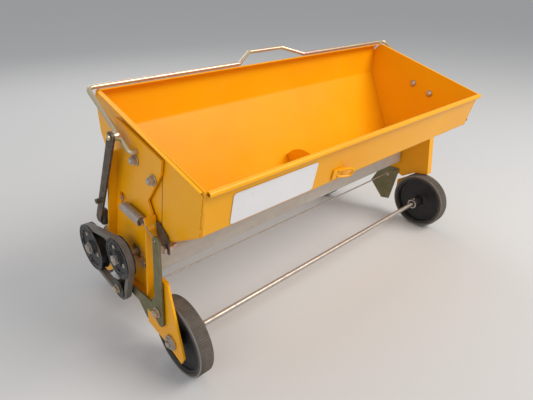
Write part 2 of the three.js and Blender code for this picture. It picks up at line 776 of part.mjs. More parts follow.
function makeWheels(end, y, offset, axleHalf, withScrews) {
  addNode(`${end}_axle`, cylinderX(axleRadius, -axleHalf, axleHalf, y, wheelZ, 16), zinc);
  sides.forEach(([side, s]) => {
    addNode(`${end}_tyre_${side}`, tyre(s * offset, y), rubber);
    addNode(`${end}_hub_${side}`, hub(s * offset, y, s), blackPaint);
    if (withScrews) addNode(`${end}_set_screw_${side}`, setScrew(s * offset, y, s), zinc);
  });
}

makeWheels('front', frontWheelY, wheelOffset, frontAxleHalf, true);
makeWheels('rear', rearWheelY, rearWheelOffset, rearAxleHalf, false);

// ---------------------------------------------------------------- chain from the rear axle
function sprocket(teeth, radius, boreRadius, y, z, turn = 0) {
  const outline = [];
  for (let i = 0; i < teeth; i += 1) {
    [[-0.32, -1.6], [-0.14, 1], [0.14, 1], [0.32, -1.6]].forEach(([share, rise]) => {
      const angle = (2 * Math.PI * (i + share)) / teeth + turn;
      outline.push([y + (radius + rise) * Math.cos(angle), z + (radius + rise) * Math.sin(angle)]);
    });
  }
  const disc = plateX(outline, -chainX - sprocketWidth / 2, -chainX + sprocketWidth / 2);
  const boss = cylinderX(boreRadius + 3.5, -chainX - sprocketWidth / 2, -chainX + 7, y, z, 20);
  return cut(join(disc, boss), cylinderX(boreRadius + gap, -chainX - 6, -chainX + 9, y, z, 20));
}

addNode('rear_sprocket', sprocket(rearTeeth, rearSprocketRadius, axleRadius, rearWheelY, wheelZ), darkSteel);
addNode('drive_sprocket', sprocket(driveTeeth, driveSprocketRadius, shaftRadius,
  drivePulleyY, drivePulleyZ), darkSteel);
const chainCircles = [
  [rearWheelY, wheelZ, rearSprocketRadius + 1],
  [drivePulleyY, drivePulleyZ, driveSprocketRadius + 1],
];
addNode('drive_chain', band(chainCircles, gap + 0.1, gap + chainThickness, -chainX - chainWidth / 2,
  -chainX + chainWidth / 2), darkSteel);

// ---------------------------------------------------------------- belt drive
const beltSide = 0.4;            // belt to each wall of a groove, at the groove's floor
const grooveTaper = 0.3;
const dishDepth = 3;

function pulley(radius, boreRadius, y, z) {
  const floorHalf = beltWidth / 2 + beltSide;
  const mouthHalf = floorHalf + grooveTaper;
  const groove = radius - beltThickness;
  const near = -pulleyNear;
  const far = -pulleyFar;
  const middle = -pulleyMiddle;
  return turnedX([
    [near, boreRadius], [near, radius], [middle + mouthHalf, radius], [middle + floorHalf, groove],
    [middle - floorHalf, groove], [middle - mouthHalf, radius], [far, radius], [far, radius - 3],
    [far + dishDepth, radius - 5], [far + dishDepth, boreRadius + 6],
    [far, boreRadius + 5], [far, boreRadius],
  ], y, z, 32);
}

const drivePulley = pulley(drivePulleyRadius, shaftRadius + gap, drivePulleyY, drivePulleyZ);
addNode('drive_pulley', drivePulley, blackPaint);
addNode('drive_shaft', join(
  cylinderX(shaftRadius, -(pulleyFar + 5), -(chainX - 9), drivePulleyY, drivePulleyZ, 16),
  cylinderX(shaftRadius + 2.5, -(pulleyFar + gap), -(pulleyFar + 1.8), drivePulleyY, drivePulleyZ, 20),
  hexX(13, -(pulleyFar + 1.5), -(pulleyFar + 6.5), drivePulleyY, drivePulleyZ),
), zinc);

addNode('driven_pulley', pulley(drivenPulleyRadius, shaftRadius + gap, feedY, feedZ), blackPaint);
const rollerHalf = gateEnd - sheet - 6;
addNode('feed_shaft', join(
  cylinderX(shaftRadius, -(pulleyFar + 5), webOuter + 4, feedY, feedZ, 16),
  cylinderX(shaftRadius + 2.5, -(pulleyFar + gap), -(pulleyFar + 1.8), feedY, feedZ, 20),
  hexX(13, -(pulleyFar + 1.5), -(pulleyFar + 6.5), feedY, feedZ),
), zinc);

function makeFeedRoller() {
  const outline = [];
  for (let i = 0; i < feedRollerFlutes; i += 1) {
    const middle = (360 * i) / feedRollerFlutes;
    const pitch = 360 / feedRollerFlutes;
    outline.push(...arc(feedY, feedZ, feedRollerRadius, middle - pitch * 0.32, middle + pitch * 0.2, 2));
    const valley = THREE.MathUtils.degToRad(middle + pitch * 0.44);
    outline.push([
      feedY + (feedRollerRadius - fluteRadius) * Math.cos(valley),
      feedZ + (feedRollerRadius - fluteRadius) * Math.sin(valley),
    ]);
  }
  const body = plateX(outline, -rollerHalf, rollerHalf);
  const bore = cylinderX(shaftRadius + gap, -rollerHalf - 1, rollerHalf + 1, feedY, feedZ, 20);
  addNode('feed_roller', cut(body, bore), aluminium);
}

makeFeedRoller();

const beltCircles = [
  [drivePulleyY, drivePulleyZ, drivePulleyRadius - beltThickness],
  [feedY, feedZ, drivenPulleyRadius - beltThickness],
  [idlerY, idlerZ, idlerRadius - beltThickness / 2],
];
addNode('v_belt', band(beltCircles, gap + 0.1, beltThickness, -pulleyMiddle - beltWidth / 2,
  -pulleyMiddle + beltWidth / 2), beltRubber);

// ---------------------------------------------------------------- tension lever
function makeLever() {
  const half = leverWidth / 2;
  const armEnd = arc(idlerY, idlerZ, half, 80, -80, 6);
  const foot = arc(leverPivotY - 3, leverPivotZ - 14, half + 1, 200, 300, 5);
  const top = arc(leverTopY, leverTopZ - half, half, 0, 180, 8);
  const outline = [
    ...top,
    [leverTopY - half, leverTopZ - half - 1],
    ...foot,
    [leverPivotY + 12, leverPivotZ - 12],
    ...[...armEnd].reverse(),
    [leverPivotY + 12, leverPivotZ + 9],
    [leverPivotY + 2, leverPivotZ + 26],
  ].reverse();
  const across = (radius, y, z) => cylinderX(radius, -leverInner + 2, -leverOuter - 2, y, z, 16);
  const body = cut(plateX(outline, -leverInner, -leverOuter),
    across(leverBore, leverPivotY, leverPivotZ),
    across(boltRadius + gap, idlerY, idlerZ),
    across(2, leverTopY, leverTopZ - leverHookDrop));
  addNode('tension_lever', body, oliveChromate);
}

makeLever();

addNode('idler_bolt', join(
  cylinderX(boltRadius, -leverInner, -(pulleyFar + 5), idlerY, idlerZ, 16),
  cylinderX(boltRadius + 3, -(leverOuter + gap), -(pulleyNear - gap), idlerY, idlerZ, 16),
  hexX(nutAcross, -(pulleyFar + gap), -(pulleyFar + 5.5), idlerY, idlerZ),
), yellowZinc);
addNode('idler_pulley', turnedX([
  [-pulleyNear, boltRadius + running], [-pulleyNear, idlerRadius], [-pulleyNear - 1.4, idlerRadius],
  [-pulleyNear - 1.8, idlerRadius - beltThickness / 2], [-pulleyFar + 1.8, idlerRadius - beltThickness / 2],
  [-pulleyFar + 1.4, idlerRadius], [-pulleyFar, idlerRadius], [-pulleyFar, boltRadius + running],
], idlerY, idlerZ, 24), blackPaint);

// The spring pulls the lever's top back to a slot in the left frame.
function makeSpring() {
  const springX = -(webOuter + springCoilRadius + springWire + 0.4);
  const start = vector(-(webOuter - 1), springAnchorY, springAnchorZ - 3);
  const backY = springAnchorY - springHook;
  const frontY = backY - springLength;
  const bodyBack = vector(springX, backY, springLineZ(backY));
  const bodyFront = vector(springX, frontY, springLineZ(frontY));
  const end = vector(-(leverInner + 1), leverTopY, leverTopZ - leverHookDrop);
  const along = bodyFront.clone().sub(bodyBack).normalize();
  const across = new THREE.Vector3(1, 0, 0);
  const up = new THREE.Vector3().crossVectors(along, across).normalize();
  const points = [start, start.clone().lerp(bodyBack, 0.6)];
  const perTurn = 8;
  for (let i = 0; i <= springTurns * perTurn; i += 1) {
    const angle = (2 * Math.PI * i) / perTurn;
    points.push(bodyBack.clone()
      .addScaledVector(along, (springLength * i) / (springTurns * perTurn))
      .addScaledVector(across, springCoilRadius * Math.cos(angle))
      .addScaledVector(up, springCoilRadius * Math.sin(angle)));
  }
  const turnIn = end.clone().setX(-(leverInner - 2.2));
  points.push(bodyFront.clone().lerp(turnIn, 0.2), turnIn, end);
  const geometry = rodAlong(new PolylineCurve(points), springWire, 5, points.length - 1);
  addNode('tension_spring', geometry, zinc);
}

makeSpring();

// ---------------------------------------------------------------- bail handle and its link
const armX = webOuter + 8;
const armAngle = Math.atan2(handleReachZ - handlePivotZ, handleReachY - handlePivotY);
const clevisY = handlePivotY + linkPivotReach * Math.cos(armAngle);
const clevisZ = handlePivotZ + linkPivotReach * Math.sin(armAngle);
const linkInner = flangeOuter + 4;
const linkOuter = linkInner + plate;

function makeHandle() {
  const arm = (s) => [
    vector(s * (webInner + 0.4), handlePivotY, handlePivotZ),
    vector(s * armX, handlePivotY, handlePivotZ),
    vector(s * armX, handleReachY, handleReachZ),
  ];
  const grip = (s) => [
    vector(s * gripRampHalf, handleReachY, handleReachZ),
    vector(s * gripHalf, handleReachY + gripRiseY, handleReachZ + gripRiseZ),
  ];
  const corners = [...arm(leftOf), ...grip(leftOf), ...grip(rightOf).reverse(), ...arm(rightOf).reverse()];
  const rod = bentRod(corners, handleRod, 9, 8, 5);
  const pin = cylinderX(3.5, -(armX - 2), -(linkOuter + 3), clevisY, clevisZ, 16);
  const collar = cylinderX(6, -(armX - 4), -(linkInner - gap), clevisY, clevisZ, 16);
  addNode('bail_handle', join(rod, pin, collar), yellowZinc);
}

makeHandle();

// The flat link hangs from the handle's left arm and rests on the rear flange through its roller.
const flangeLean = Math.atan2(webHeel[0] - webRear[0], webRear[1] - webHeel[1]);
const restOff = linkRollerRadius + plate / 2 + 1;

function linkRollerPlace() {
  const normal = [Math.cos(flangeLean), Math.sin(flangeLean)];
  const down = [Math.sin(flangeLean), -Math.cos(flangeLean)];
  const base = [webRear[0] + normal[0] * restOff - clevisY, webRear[1] + normal[1] * restOff - clevisZ];
  const middle = base[0] * down[0] + base[1] * down[1];
  const spare = base[0] ** 2 + base[1] ** 2 - linkLength ** 2;
  const slide = -middle + Math.sqrt(middle ** 2 - spare);
  return [clevisY + base[0] + down[0] * slide, clevisZ + base[1] + down[1] * slide];
}

const [rollerY, rollerZ] = linkRollerPlace();

function makeLink() {
  const half = linkWidth / 2;
  const lean = THREE.MathUtils.radToDeg(Math.atan2(rollerZ - clevisZ, rollerY - clevisY));
  const outline = [
    ...arc(clevisY, clevisZ, half, lean + 90, lean + 270, 8),
    ...arc(rollerY, rollerZ, half - 1, lean - 90, lean + 90, 8),
  ];
  const body = plateX(outline, -linkInner, -linkOuter);
  const bore = cylinderX(3.5 + gap, -linkInner + 2, -linkOuter - 2, clevisY, clevisZ, 16);
  const pinY = clevisY + (rollerY - clevisY) * 0.74;
  const pinZ = clevisZ + (rollerZ - clevisZ) * 0.74;
  const stud = cylinderX(3.5, -linkOuter + 1, -linkOuter - 7, pinY, pinZ, 16);
  const pinEnd = linkInner - gap - linkRollerWidth - 2;
  const rollerPin = cylinderX(3, -linkInner - 1, -pinEnd, rollerY, rollerZ, 16);
  addNode('link_bar', join(cut(body, bore), stud, rollerPin), darkSteel);
}

makeLink();

function makeLinkRoller() {
  const near = linkInner - gap;
  const far = near - linkRollerWidth;
  addNode('link_roller', turnedX([
    [-near, 3 + running], [-near, linkRollerRadius - 1], [-near + 1, linkRollerRadius],
    [-far - 1, linkRollerRadius], [-far, linkRollerRadius - 1], [-far, 3 + running],
  ], rollerY, rollerZ, 20), rubber);
}

makeLinkRoller();

// ---------------------------------------------------------------- origin
// The spreader stands on the ground with its origin under the middle of its overall box.
spreader.updateMatrixWorld(true);
const overall = new THREE.Box3().setFromObject(spreader);
const middle = overall.getCenter(new THREE.Vector3());
spreader.position.set(-middle.x, -middle.y, -overall.min.z);

export default spreader;
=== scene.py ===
import json
import math

import bmesh
import bpy
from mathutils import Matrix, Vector

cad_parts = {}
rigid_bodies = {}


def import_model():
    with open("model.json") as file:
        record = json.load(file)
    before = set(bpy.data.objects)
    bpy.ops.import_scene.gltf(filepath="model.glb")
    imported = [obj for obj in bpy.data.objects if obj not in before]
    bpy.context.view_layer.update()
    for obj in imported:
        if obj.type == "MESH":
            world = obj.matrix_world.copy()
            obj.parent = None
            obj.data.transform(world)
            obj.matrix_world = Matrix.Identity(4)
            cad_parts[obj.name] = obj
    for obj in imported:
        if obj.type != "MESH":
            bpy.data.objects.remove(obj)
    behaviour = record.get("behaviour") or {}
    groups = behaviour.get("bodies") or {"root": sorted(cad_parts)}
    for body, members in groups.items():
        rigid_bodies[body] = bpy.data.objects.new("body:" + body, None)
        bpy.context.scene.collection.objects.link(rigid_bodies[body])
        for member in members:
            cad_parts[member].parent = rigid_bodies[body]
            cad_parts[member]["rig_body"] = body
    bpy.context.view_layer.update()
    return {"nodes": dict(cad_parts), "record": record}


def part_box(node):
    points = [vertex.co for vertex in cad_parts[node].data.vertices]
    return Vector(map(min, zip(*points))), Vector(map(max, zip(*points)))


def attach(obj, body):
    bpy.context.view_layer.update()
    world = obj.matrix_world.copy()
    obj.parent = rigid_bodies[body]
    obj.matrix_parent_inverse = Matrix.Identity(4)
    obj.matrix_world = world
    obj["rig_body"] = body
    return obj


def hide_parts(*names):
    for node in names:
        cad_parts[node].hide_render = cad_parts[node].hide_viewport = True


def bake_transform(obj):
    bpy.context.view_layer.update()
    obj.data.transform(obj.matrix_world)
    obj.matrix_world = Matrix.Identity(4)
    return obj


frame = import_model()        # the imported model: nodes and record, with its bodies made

nodes = frame["nodes"]
bodyOf = {name: nodes[name]["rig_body"] for name in nodes}
slotOf = {part["node"]: part["material_slot"] for part in frame["record"]["subparts"]}
mm = 0.001
along = Vector((1, 0, 0))        # the hopper's length, and the axis of everything that turns
sides = (("left", -1), ("right", 1))
axleLow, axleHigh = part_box("front_axle")
origin = Vector(((axleLow.x + axleHigh.x) / 2, (axleLow.y + axleHigh.y) / 2, 0))


def at(x, y, z):        # a place in millimetres from the ground under the middle of the front axle
    return origin + Vector((x, y, z)) * mm


print("frame loaded:", len(nodes), "nodes")


# camera, floor and light
cameraPlace = {
    "at": (-0.52083, -0.51908, 0.48804),
    "tilt": 63.415,
    "turn": -42.84,
    "lens": 30.61,
}
studio = {
    "floorColour": (0.62, 0.61, 0.60),
    "floorHalf": 40.0,
    "skyStrength": 0.52,
    "keyPower": 38.0,
    "fillPower": 9.0,
    "rimPower": 10.0,
}


def makeCamera():
    data = bpy.data.cameras.new("camera")
    data.lens = cameraPlace["lens"]
    data.sensor_width = 36.0
    data.clip_start = 0.01
    camera = bpy.data.objects.new("camera", data)
    camera.location = cameraPlace["at"]
    camera.rotation_euler = (math.radians(cameraPlace["tilt"]), 0, math.radians(cameraPlace["turn"]))
    bpy.context.scene.collection.objects.link(camera)
    bpy.context.scene.camera = camera


def makeLight(name, place, target, size, power, colour):
    data = bpy.data.lights.new(name, "AREA")
    data.shape = "RECTANGLE"
    data.size = size
    data.size_y = size * 0.7
    data.energy = power
    data.color = colour
    light = bpy.data.objects.new(name, data)
    light.location = place
    light.rotation_euler = (Vector(target) - Vector(place)).to_track_quat("-Z", "Y").to_euler()
    bpy.context.scene.collection.objects.link(light)


def makeStudio():
    bpy.context.scene.view_settings.view_transform = "Standard"
    world = bpy.data.worlds.new("sky")
    bpy.context.scene.world = world
    world.use_nodes = True
    background = world.node_tree.nodes["Background"]
    background.inputs["Color"].default_value = (0.93, 0.96, 1.0, 1)
    background.inputs["Strength"].default_value = studio["skyStrength"]
    middle = (0, 0, 0.18)
    makeLight("keyLight", (0.9, -1.5, 1.7), middle, 1.4, studio["keyPower"], (1.0, 0.97, 0.92))
    makeLight("fillLight", (-1.9, -0.7, 1.2), middle, 1.6, studio["fillPower"], (0.95, 0.97, 1.0))
    makeLight("rimLight", (0.4, 1.7, 1.5), middle, 1.4, studio["rimPower"], (1.0, 1.0, 1.0))


# shader helpers
def put(tree, kind, inputs=None, **settings):
    node = tree.nodes.new("ShaderNode" + kind)
    for key, value in settings.items():
        setattr(node, key, value)
    for key, value in (inputs or {}).items():
        if isinstance(value, bpy.types.NodeSocket):
            tree.links.new(value, node.inputs[key])
        else:
            node.inputs[key].default_value = value
    return node


def math2(tree, operation, a, b=0.0, clamp=False):
    return put(tree, "Math", {0: a, 1: b}, operation=operation, use_clamp=clamp).outputs[0]


def spread(tree, value, low, high, toLow=0.0, toHigh=1.0):
    inputs = {"Value": value, "From Min": low, "From Max": high, "To Min": toLow, "To Max": toHigh}
    return put(tree, "MapRange", inputs, clamp=True).outputs["Result"]


def blendColour(tree, share, a, b):
    node = put(tree, "Mix", data_type="RGBA")
    for key, value in (("Factor_Float", share), ("A_Color", a), ("B_Color", b)):
        socket = next(s for s in node.inputs if s.identifier == key)
        if isinstance(value, bpy.types.NodeSocket):
            tree.links.new(value, socket)
        else:
            socket.default_value = value
    return next(s for s in node.outputs if s.identifier == "Result_Color")


def noise(tree, vector, scale, detail=3.0, rough=0.55, distort=0.0):
    inputs = {"Vector": vector, "Scale": scale, "Detail": detail, "Roughness": rough, "Distortion": distort}
    return put(tree, "TexNoise", inputs).outputs["Fac"]


def startGroup(name, inputs, outputs):
    tree = bpy.data.node_groups.new(name, "ShaderNodeTree")
    for label, value in inputs.items():
        socket = tree.interface.new_socket(label, in_out="INPUT", socket_type="NodeSocketFloat")
        socket.default_value = value
    for label, kind in outputs.items():
        tree.interface.new_socket(label, in_out="OUTPUT", socket_type="NodeSocket" + kind)
    source = tree.nodes.new("NodeGroupInput")
    result = tree.nodes.new("NodeGroupOutput")
    place = put(tree, "TexCoord").outputs["Object"]
    return tree, source.outputs, result.inputs, place


def buildEdgeWear():
    tree, given, out, place = startGroup(
        "edgeWear", {"Radius": 1.2 * mm, "Patch Scale": 160.0, "Amount": 0.5}, {"Mask": "Float"})
    rounded = put(tree, "Bevel", {"Radius": given["Radius"]}, samples=4).outputs["Normal"]
    flat = put(tree, "NewGeometry").outputs["Normal"]
    dot = put(tree, "VectorMath", {0: rounded, 1: flat}, operation="DOT_PRODUCT").outputs["Value"]
    edge = spread(tree, dot, 0.985, 0.80)
    patches = noise(tree, place, given["Patch Scale"], 4.0, 0.65)
    limit = math2(tree, "SUBTRACT", 1.0, given["Amount"])
    near = math2(tree, "SUBTRACT", patches, limit)
    shown = spread(tree, near, -0.05, 0.09)
    tree.links.new(math2(tree, "MULTIPLY", edge, shown), out["Mask"])
    return tree


def buildDust():
    tree, given, out, place = startGroup(
        "dust", {"Scale": 14.0, "Amount": 0.4, "Low Height": 0.12}, {"Mask": "Float"})
    normal = put(tree, "NewGeometry").outputs["Normal"]
    facing = put(tree, "SeparateXYZ", {0: normal}).outputs["Z"]
    upward = spread(tree, facing, 0.1, 1.0, 0.35, 1.0)
    height = put(tree, "SeparateXYZ", {0: place}).outputs["Z"]
    low = spread(tree, math2(tree, "DIVIDE", height, given["Low Height"]), 0.0, 1.0, 1.0, 0.3)
    cloud = spread(tree, noise(tree, place, given["Scale"], 5.0, 0.62), 0.36, 0.70)
    grain = spread(tree, noise(tree, place, 900.0, 2.0, 0.6), 0.35, 0.65, 0.55, 1.0)
    mask = math2(tree, "MULTIPLY", math2(tree, "MULTIPLY", upward, cloud), math2(tree, "MULTIPLY", low, grain))
    tree.links.new(math2(tree, "MULTIPLY", mask, given["Amount"]), out["Mask"])
    return tree


def buildScratches():
    tree, given, out, place = startGroup(
        "scratches", {"Scale": 60.0, "Stretch": 9.0, "Amount": 0.5}, {"Mask": "Float"})
    masks = []
    for lean in (0.4, 1.9, 2.7):
        stretched = put(tree, "CombineXYZ", {0: given["Stretch"], 1: 1.0, 2: 1.0}).outputs[0]
        turned = put(tree, "Mapping", {"Vector": place, "Rotation": (lean, lean * 0.6, lean * 1.7)}).outputs[0]
        squeezed = put(tree, "VectorMath", {0: turned, 1: stretched}, operation="DIVIDE").outputs[0]
        inputs = {"Vector": squeezed, "Scale": given["Scale"]}
        cells = put(tree, "TexVoronoi", inputs, feature="DISTANCE_TO_EDGE")
        line = spread(tree, cells.outputs["Distance"], 0.012, 0.002)
        broken = spread(tree, noise(tree, squeezed, 30.0 + 9.0 * lean, 2.0), 0.54, 0.62)
        masks.append(math2(tree, "MULTIPLY", line, broken))
    total = math2(tree, "ADD", math2(tree, "ADD", masks[0], masks[1]), masks[2], clamp=True)
    tree.links.new(math2(tree, "MULTIPLY", total, given["Amount"]), out["Mask"])
    return tree


# painted shade mixed with grime: ambient occlusion darkens corners, creases and gaps between parts, broken up
# by noise
def buildGrimeAndShade():
    tree, given, out, place = startGroup(
        "grimeAndShade", {"Reach": 9 * mm, "Scale": 90.0, "Amount": 0.5}, {"Mask": "Float"})
    corner = put(tree, "AmbientOcclusion", {"Distance": given["Reach"]}, samples=4).outputs["AO"]
    deep = spread(tree, corner, 0.75, 0.25)
    cloud = spread(tree, noise(tree, place, given["Scale"], 4.0, 0.6), 0.30, 0.66)
    mask = math2(tree, "MULTIPLY", deep, cloud)
    tree.links.new(math2(tree, "MULTIPLY", mask, given["Amount"]), out["Mask"])
    return tree


def buildPlating():
    tree, given, out, place = startGroup(
        "plating", {"Scale": 120.0, "Stretch": 1.0}, {"Mottle": "Float", "Tint": "Float", "Grain": "Float"})
    squeeze = put(tree, "CombineXYZ", {0: given["Stretch"], 1: 1.0, 2: 1.0}).outputs[0]
    stretched = put(tree, "VectorMath", {0: place, 1: squeeze}, operation="DIVIDE").outputs[0]
    tree.links.new(spread(tree, noise(tree, stretched, given["Scale"], 5.0, 0.6, 0.4), 0.3, 0.7), out["Mottle"])
    tint = noise(tree, place, math2(tree, "MULTIPLY", given["Scale"], 0.35), 2.0, 0.5, 1.2)
    tree.links.new(spread(tree, tint, 0.34, 0.66), out["Tint"])
    tree.links.new(noise(tree, stretched, math2(tree, "MULTIPLY", given["Scale"], 9.0), 2.0), out["Grain"])
    return tree


groups = {
    "edgeWear": buildEdgeWear(),
    "dust": buildDust(),
    "scratches": buildScratches(),
    "grimeAndShade": buildGrimeAndShade(),
    "plating": buildPlating(),
}


def effect(tree, name, inputs, output="Mask"):
    node = put(tree, "Group", node_tree=groups[name])
    for key, value in inputs.items():
        node.inputs[key].default_value = value
    return node.outputs[output]


def startMaterial(name):
    material = bpy.data.materials.new(name)
    material.use_nodes = True
    tree = material.node_tree
    return material, tree, tree.nodes["Principled BSDF"], put(tree, "TexCoord").outputs["Object"]


def withBump(tree, shader, height, distance, strength=1.0):
    bump = put(tree, "Bump", {"Height": height, "Distance": distance, "Strength": strength})
    tree.links.new(bump.outputs["Normal"], shader.inputs["Normal"])


dustColour = (0.30, 0.265, 0.22, 1)
# near-black for grime and painted corner shade on plated parts
grimeAndShadeColour = (0.035, 0.025, 0.018, 1)


def makePaint(name, look):
    material, tree, shader, place = startMaterial(name)
    broad = noise(tree, place, 7.0, 3.0, 0.5)
    colour = blendColour(tree, spread(tree, broad, 0.35, 0.65), look["colour"], look["shade"])
    scratch = effect(tree, "scratches", {"Scale": 42.0, "Stretch": 10.0, "Amount": look["scratches"]})
    colour = blendColour(tree, math2(tree, "MULTIPLY", scratch, 0.5), colour, look["scratchColour"])
    wear = effect(tree, "edgeWear", {"Radius": 1.0 * mm, "Patch Scale": 130.0, "Amount": look["wear"]})
    colour = blendColour(tree, wear, colour, look["wornColour"])
    # painted corner shade mixed with grime: creases blend towards the look's grime-and-shade colour, a darker
    # orange on the orange paint
    grimeAndShade = effect(tree, "grimeAndShade", {"Reach": 8 * mm, "Scale": 70.0, "Amount": look["grimeAndShade"]})
    colour = blendColour(tree, grimeAndShade, colour, look["grimeAndShadeColour"])
    dust = effect(tree, "dust", {"Scale": 16.0, "Amount": look["dust"], "Low Height": 0.16})
    colour = blendColour(tree, dust, colour, dustColour)
    tree.links.new(colour, shader.inputs["Base Color"])
    smudge = spread(tree, noise(tree, place, 24.0, 4.0, 0.6), 0.35, 0.7, 0.0, look["smudge"])
    rough = math2(tree, "ADD", math2(tree, "ADD", look["rough"], smudge), math2(tree, "MULTIPLY", dust, 0.5))
    rough = math2(tree, "ADD", rough, math2(tree, "MULTIPLY", wear, 0.15), clamp=True)
    tree.links.new(rough, shader.inputs["Roughness"])
    shader.inputs["Specular IOR Level"].default_value = look["specular"]
    shader.inputs["Coat Weight"].default_value = look["coat"]
    shader.inputs["Coat Roughness"].default_value = 0.12
    peel = noise(tree, place, 420.0, 2.0, 0.5)
    ripple = noise(tree, place, 26.0, 2.0, 0.5)
    height = math2(tree, "MULTIPLY", peel, look["peel"])
    height = math2(tree, "ADD", height, math2(tree, "MULTIPLY", ripple, 0.9))
    height = math2(tree, "SUBTRACT", height, math2(tree, "MULTIPLY", scratch, 0.2))
    height = math2(tree, "SUBTRACT", height, math2(tree, "MULTIPLY", wear, 0.6))
    withBump(tree, shader, height, 0.12 * mm, 0.6)
    return material


def makePlated(name, look):
    material, tree, shader, place = startMaterial(name)
    size = {"Scale": look["scale"], "Stretch": look["stretch"]}
    plating = put(tree, "Group", size, node_tree=groups["plating"])
    colour = blendColour(tree, plating.outputs["Tint"], look["colour"], look["tint"])
    mottle = math2(tree, "MULTIPLY", plating.outputs["Mottle"], look["mottle"])
    colour = blendColour(tree, mottle, colour, look["dark"])
    wear = effect(tree, "edgeWear", {"Radius": 0.8 * mm, "Patch Scale": 200.0, "Amount": look["wear"]})
    colour = blendColour(tree, wear, colour, look["wornColour"])
    # painted corner shade mixed with grime: creases go near-black
    grimeAndShade = effect(tree, "grimeAndShade", {"Reach": 5 * mm, "Scale": 140.0, "Amount": look["grimeAndShade"]})
    colour = blendColour(tree, grimeAndShade, colour, grimeAndShadeColour)
    dust = effect(tree, "dust", {"Scale": 30.0, "Amount": look["dust"], "Low Height": 0.2})
    colour = blendColour(tree, dust, colour, dustColour)
    tree.links.new(colour, shader.inputs["Base Color"])
    dull = math2(tree, "ADD", grimeAndShade, dust, clamp=True)
    tree.links.new(spread(tree, dull, 0.0, 1.0, look["metal"], 0.1), shader.inputs["Metallic"])
    rough = spread(tree, plating.outputs["Mottle"], 0.0, 1.0, look["rough"], look["rough"] + 0.16)
    tree.links.new(math2(tree, "ADD", rough, math2(tree, "MULTIPLY", dull, 0.3), clamp=True),
                   shader.inputs["Roughness"])
    withBump(tree, shader, plating.outputs["Grain"], look["grain"] * mm, 0.5)
    return material


def makeRubber(name, look):
    material, tree, shader, place = startMaterial(name)
    patch = spread(tree, noise(tree, place, look["scale"], 5.0, 0.65), 0.35, 0.68)
    colour = blendColour(tree, patch, look["colour"], look["worn"])
    edge = effect(tree, "edgeWear", {"Radius": 1.0 * mm, "Patch Scale": 90.0, "Amount": look["wear"]})
    colour = blendColour(tree, edge, colour, look["wornColour"])
    if "side" in look:        # the piece's own "wall" attribute marks its side walls
        wall = put(tree, "Attribute", attribute_name="wall").outputs["Fac"]
        rubbed = math2(tree, "MULTIPLY", wall, spread(tree, patch, 0.0, 1.0, 1.0, 0.6))
        colour = blendColour(tree, rubbed, colour, look["side"])
    dust = effect(tree, "dust", {"Scale": 45.0, "Amount": look["dust"], "Low Height": 0.3})
    colour = blendColour(tree, dust, colour, dustColour)
    tree.links.new(colour, shader.inputs["Base Color"])
    rough = spread(tree, patch, 0.0, 1.0, look["rough"], look["rough"] + 0.18)
    tree.links.new(rough, shader.inputs["Roughness"])
    grain = math2(tree, "ADD", noise(tree, place, 700.0, 3.0), math2(tree, "MULTIPLY", patch, 0.6))
    withBump(tree, shader, grain, look["grain"] * mm, 0.6)
    shader.inputs["Specular IOR Level"].default_value = 0.35
    return material


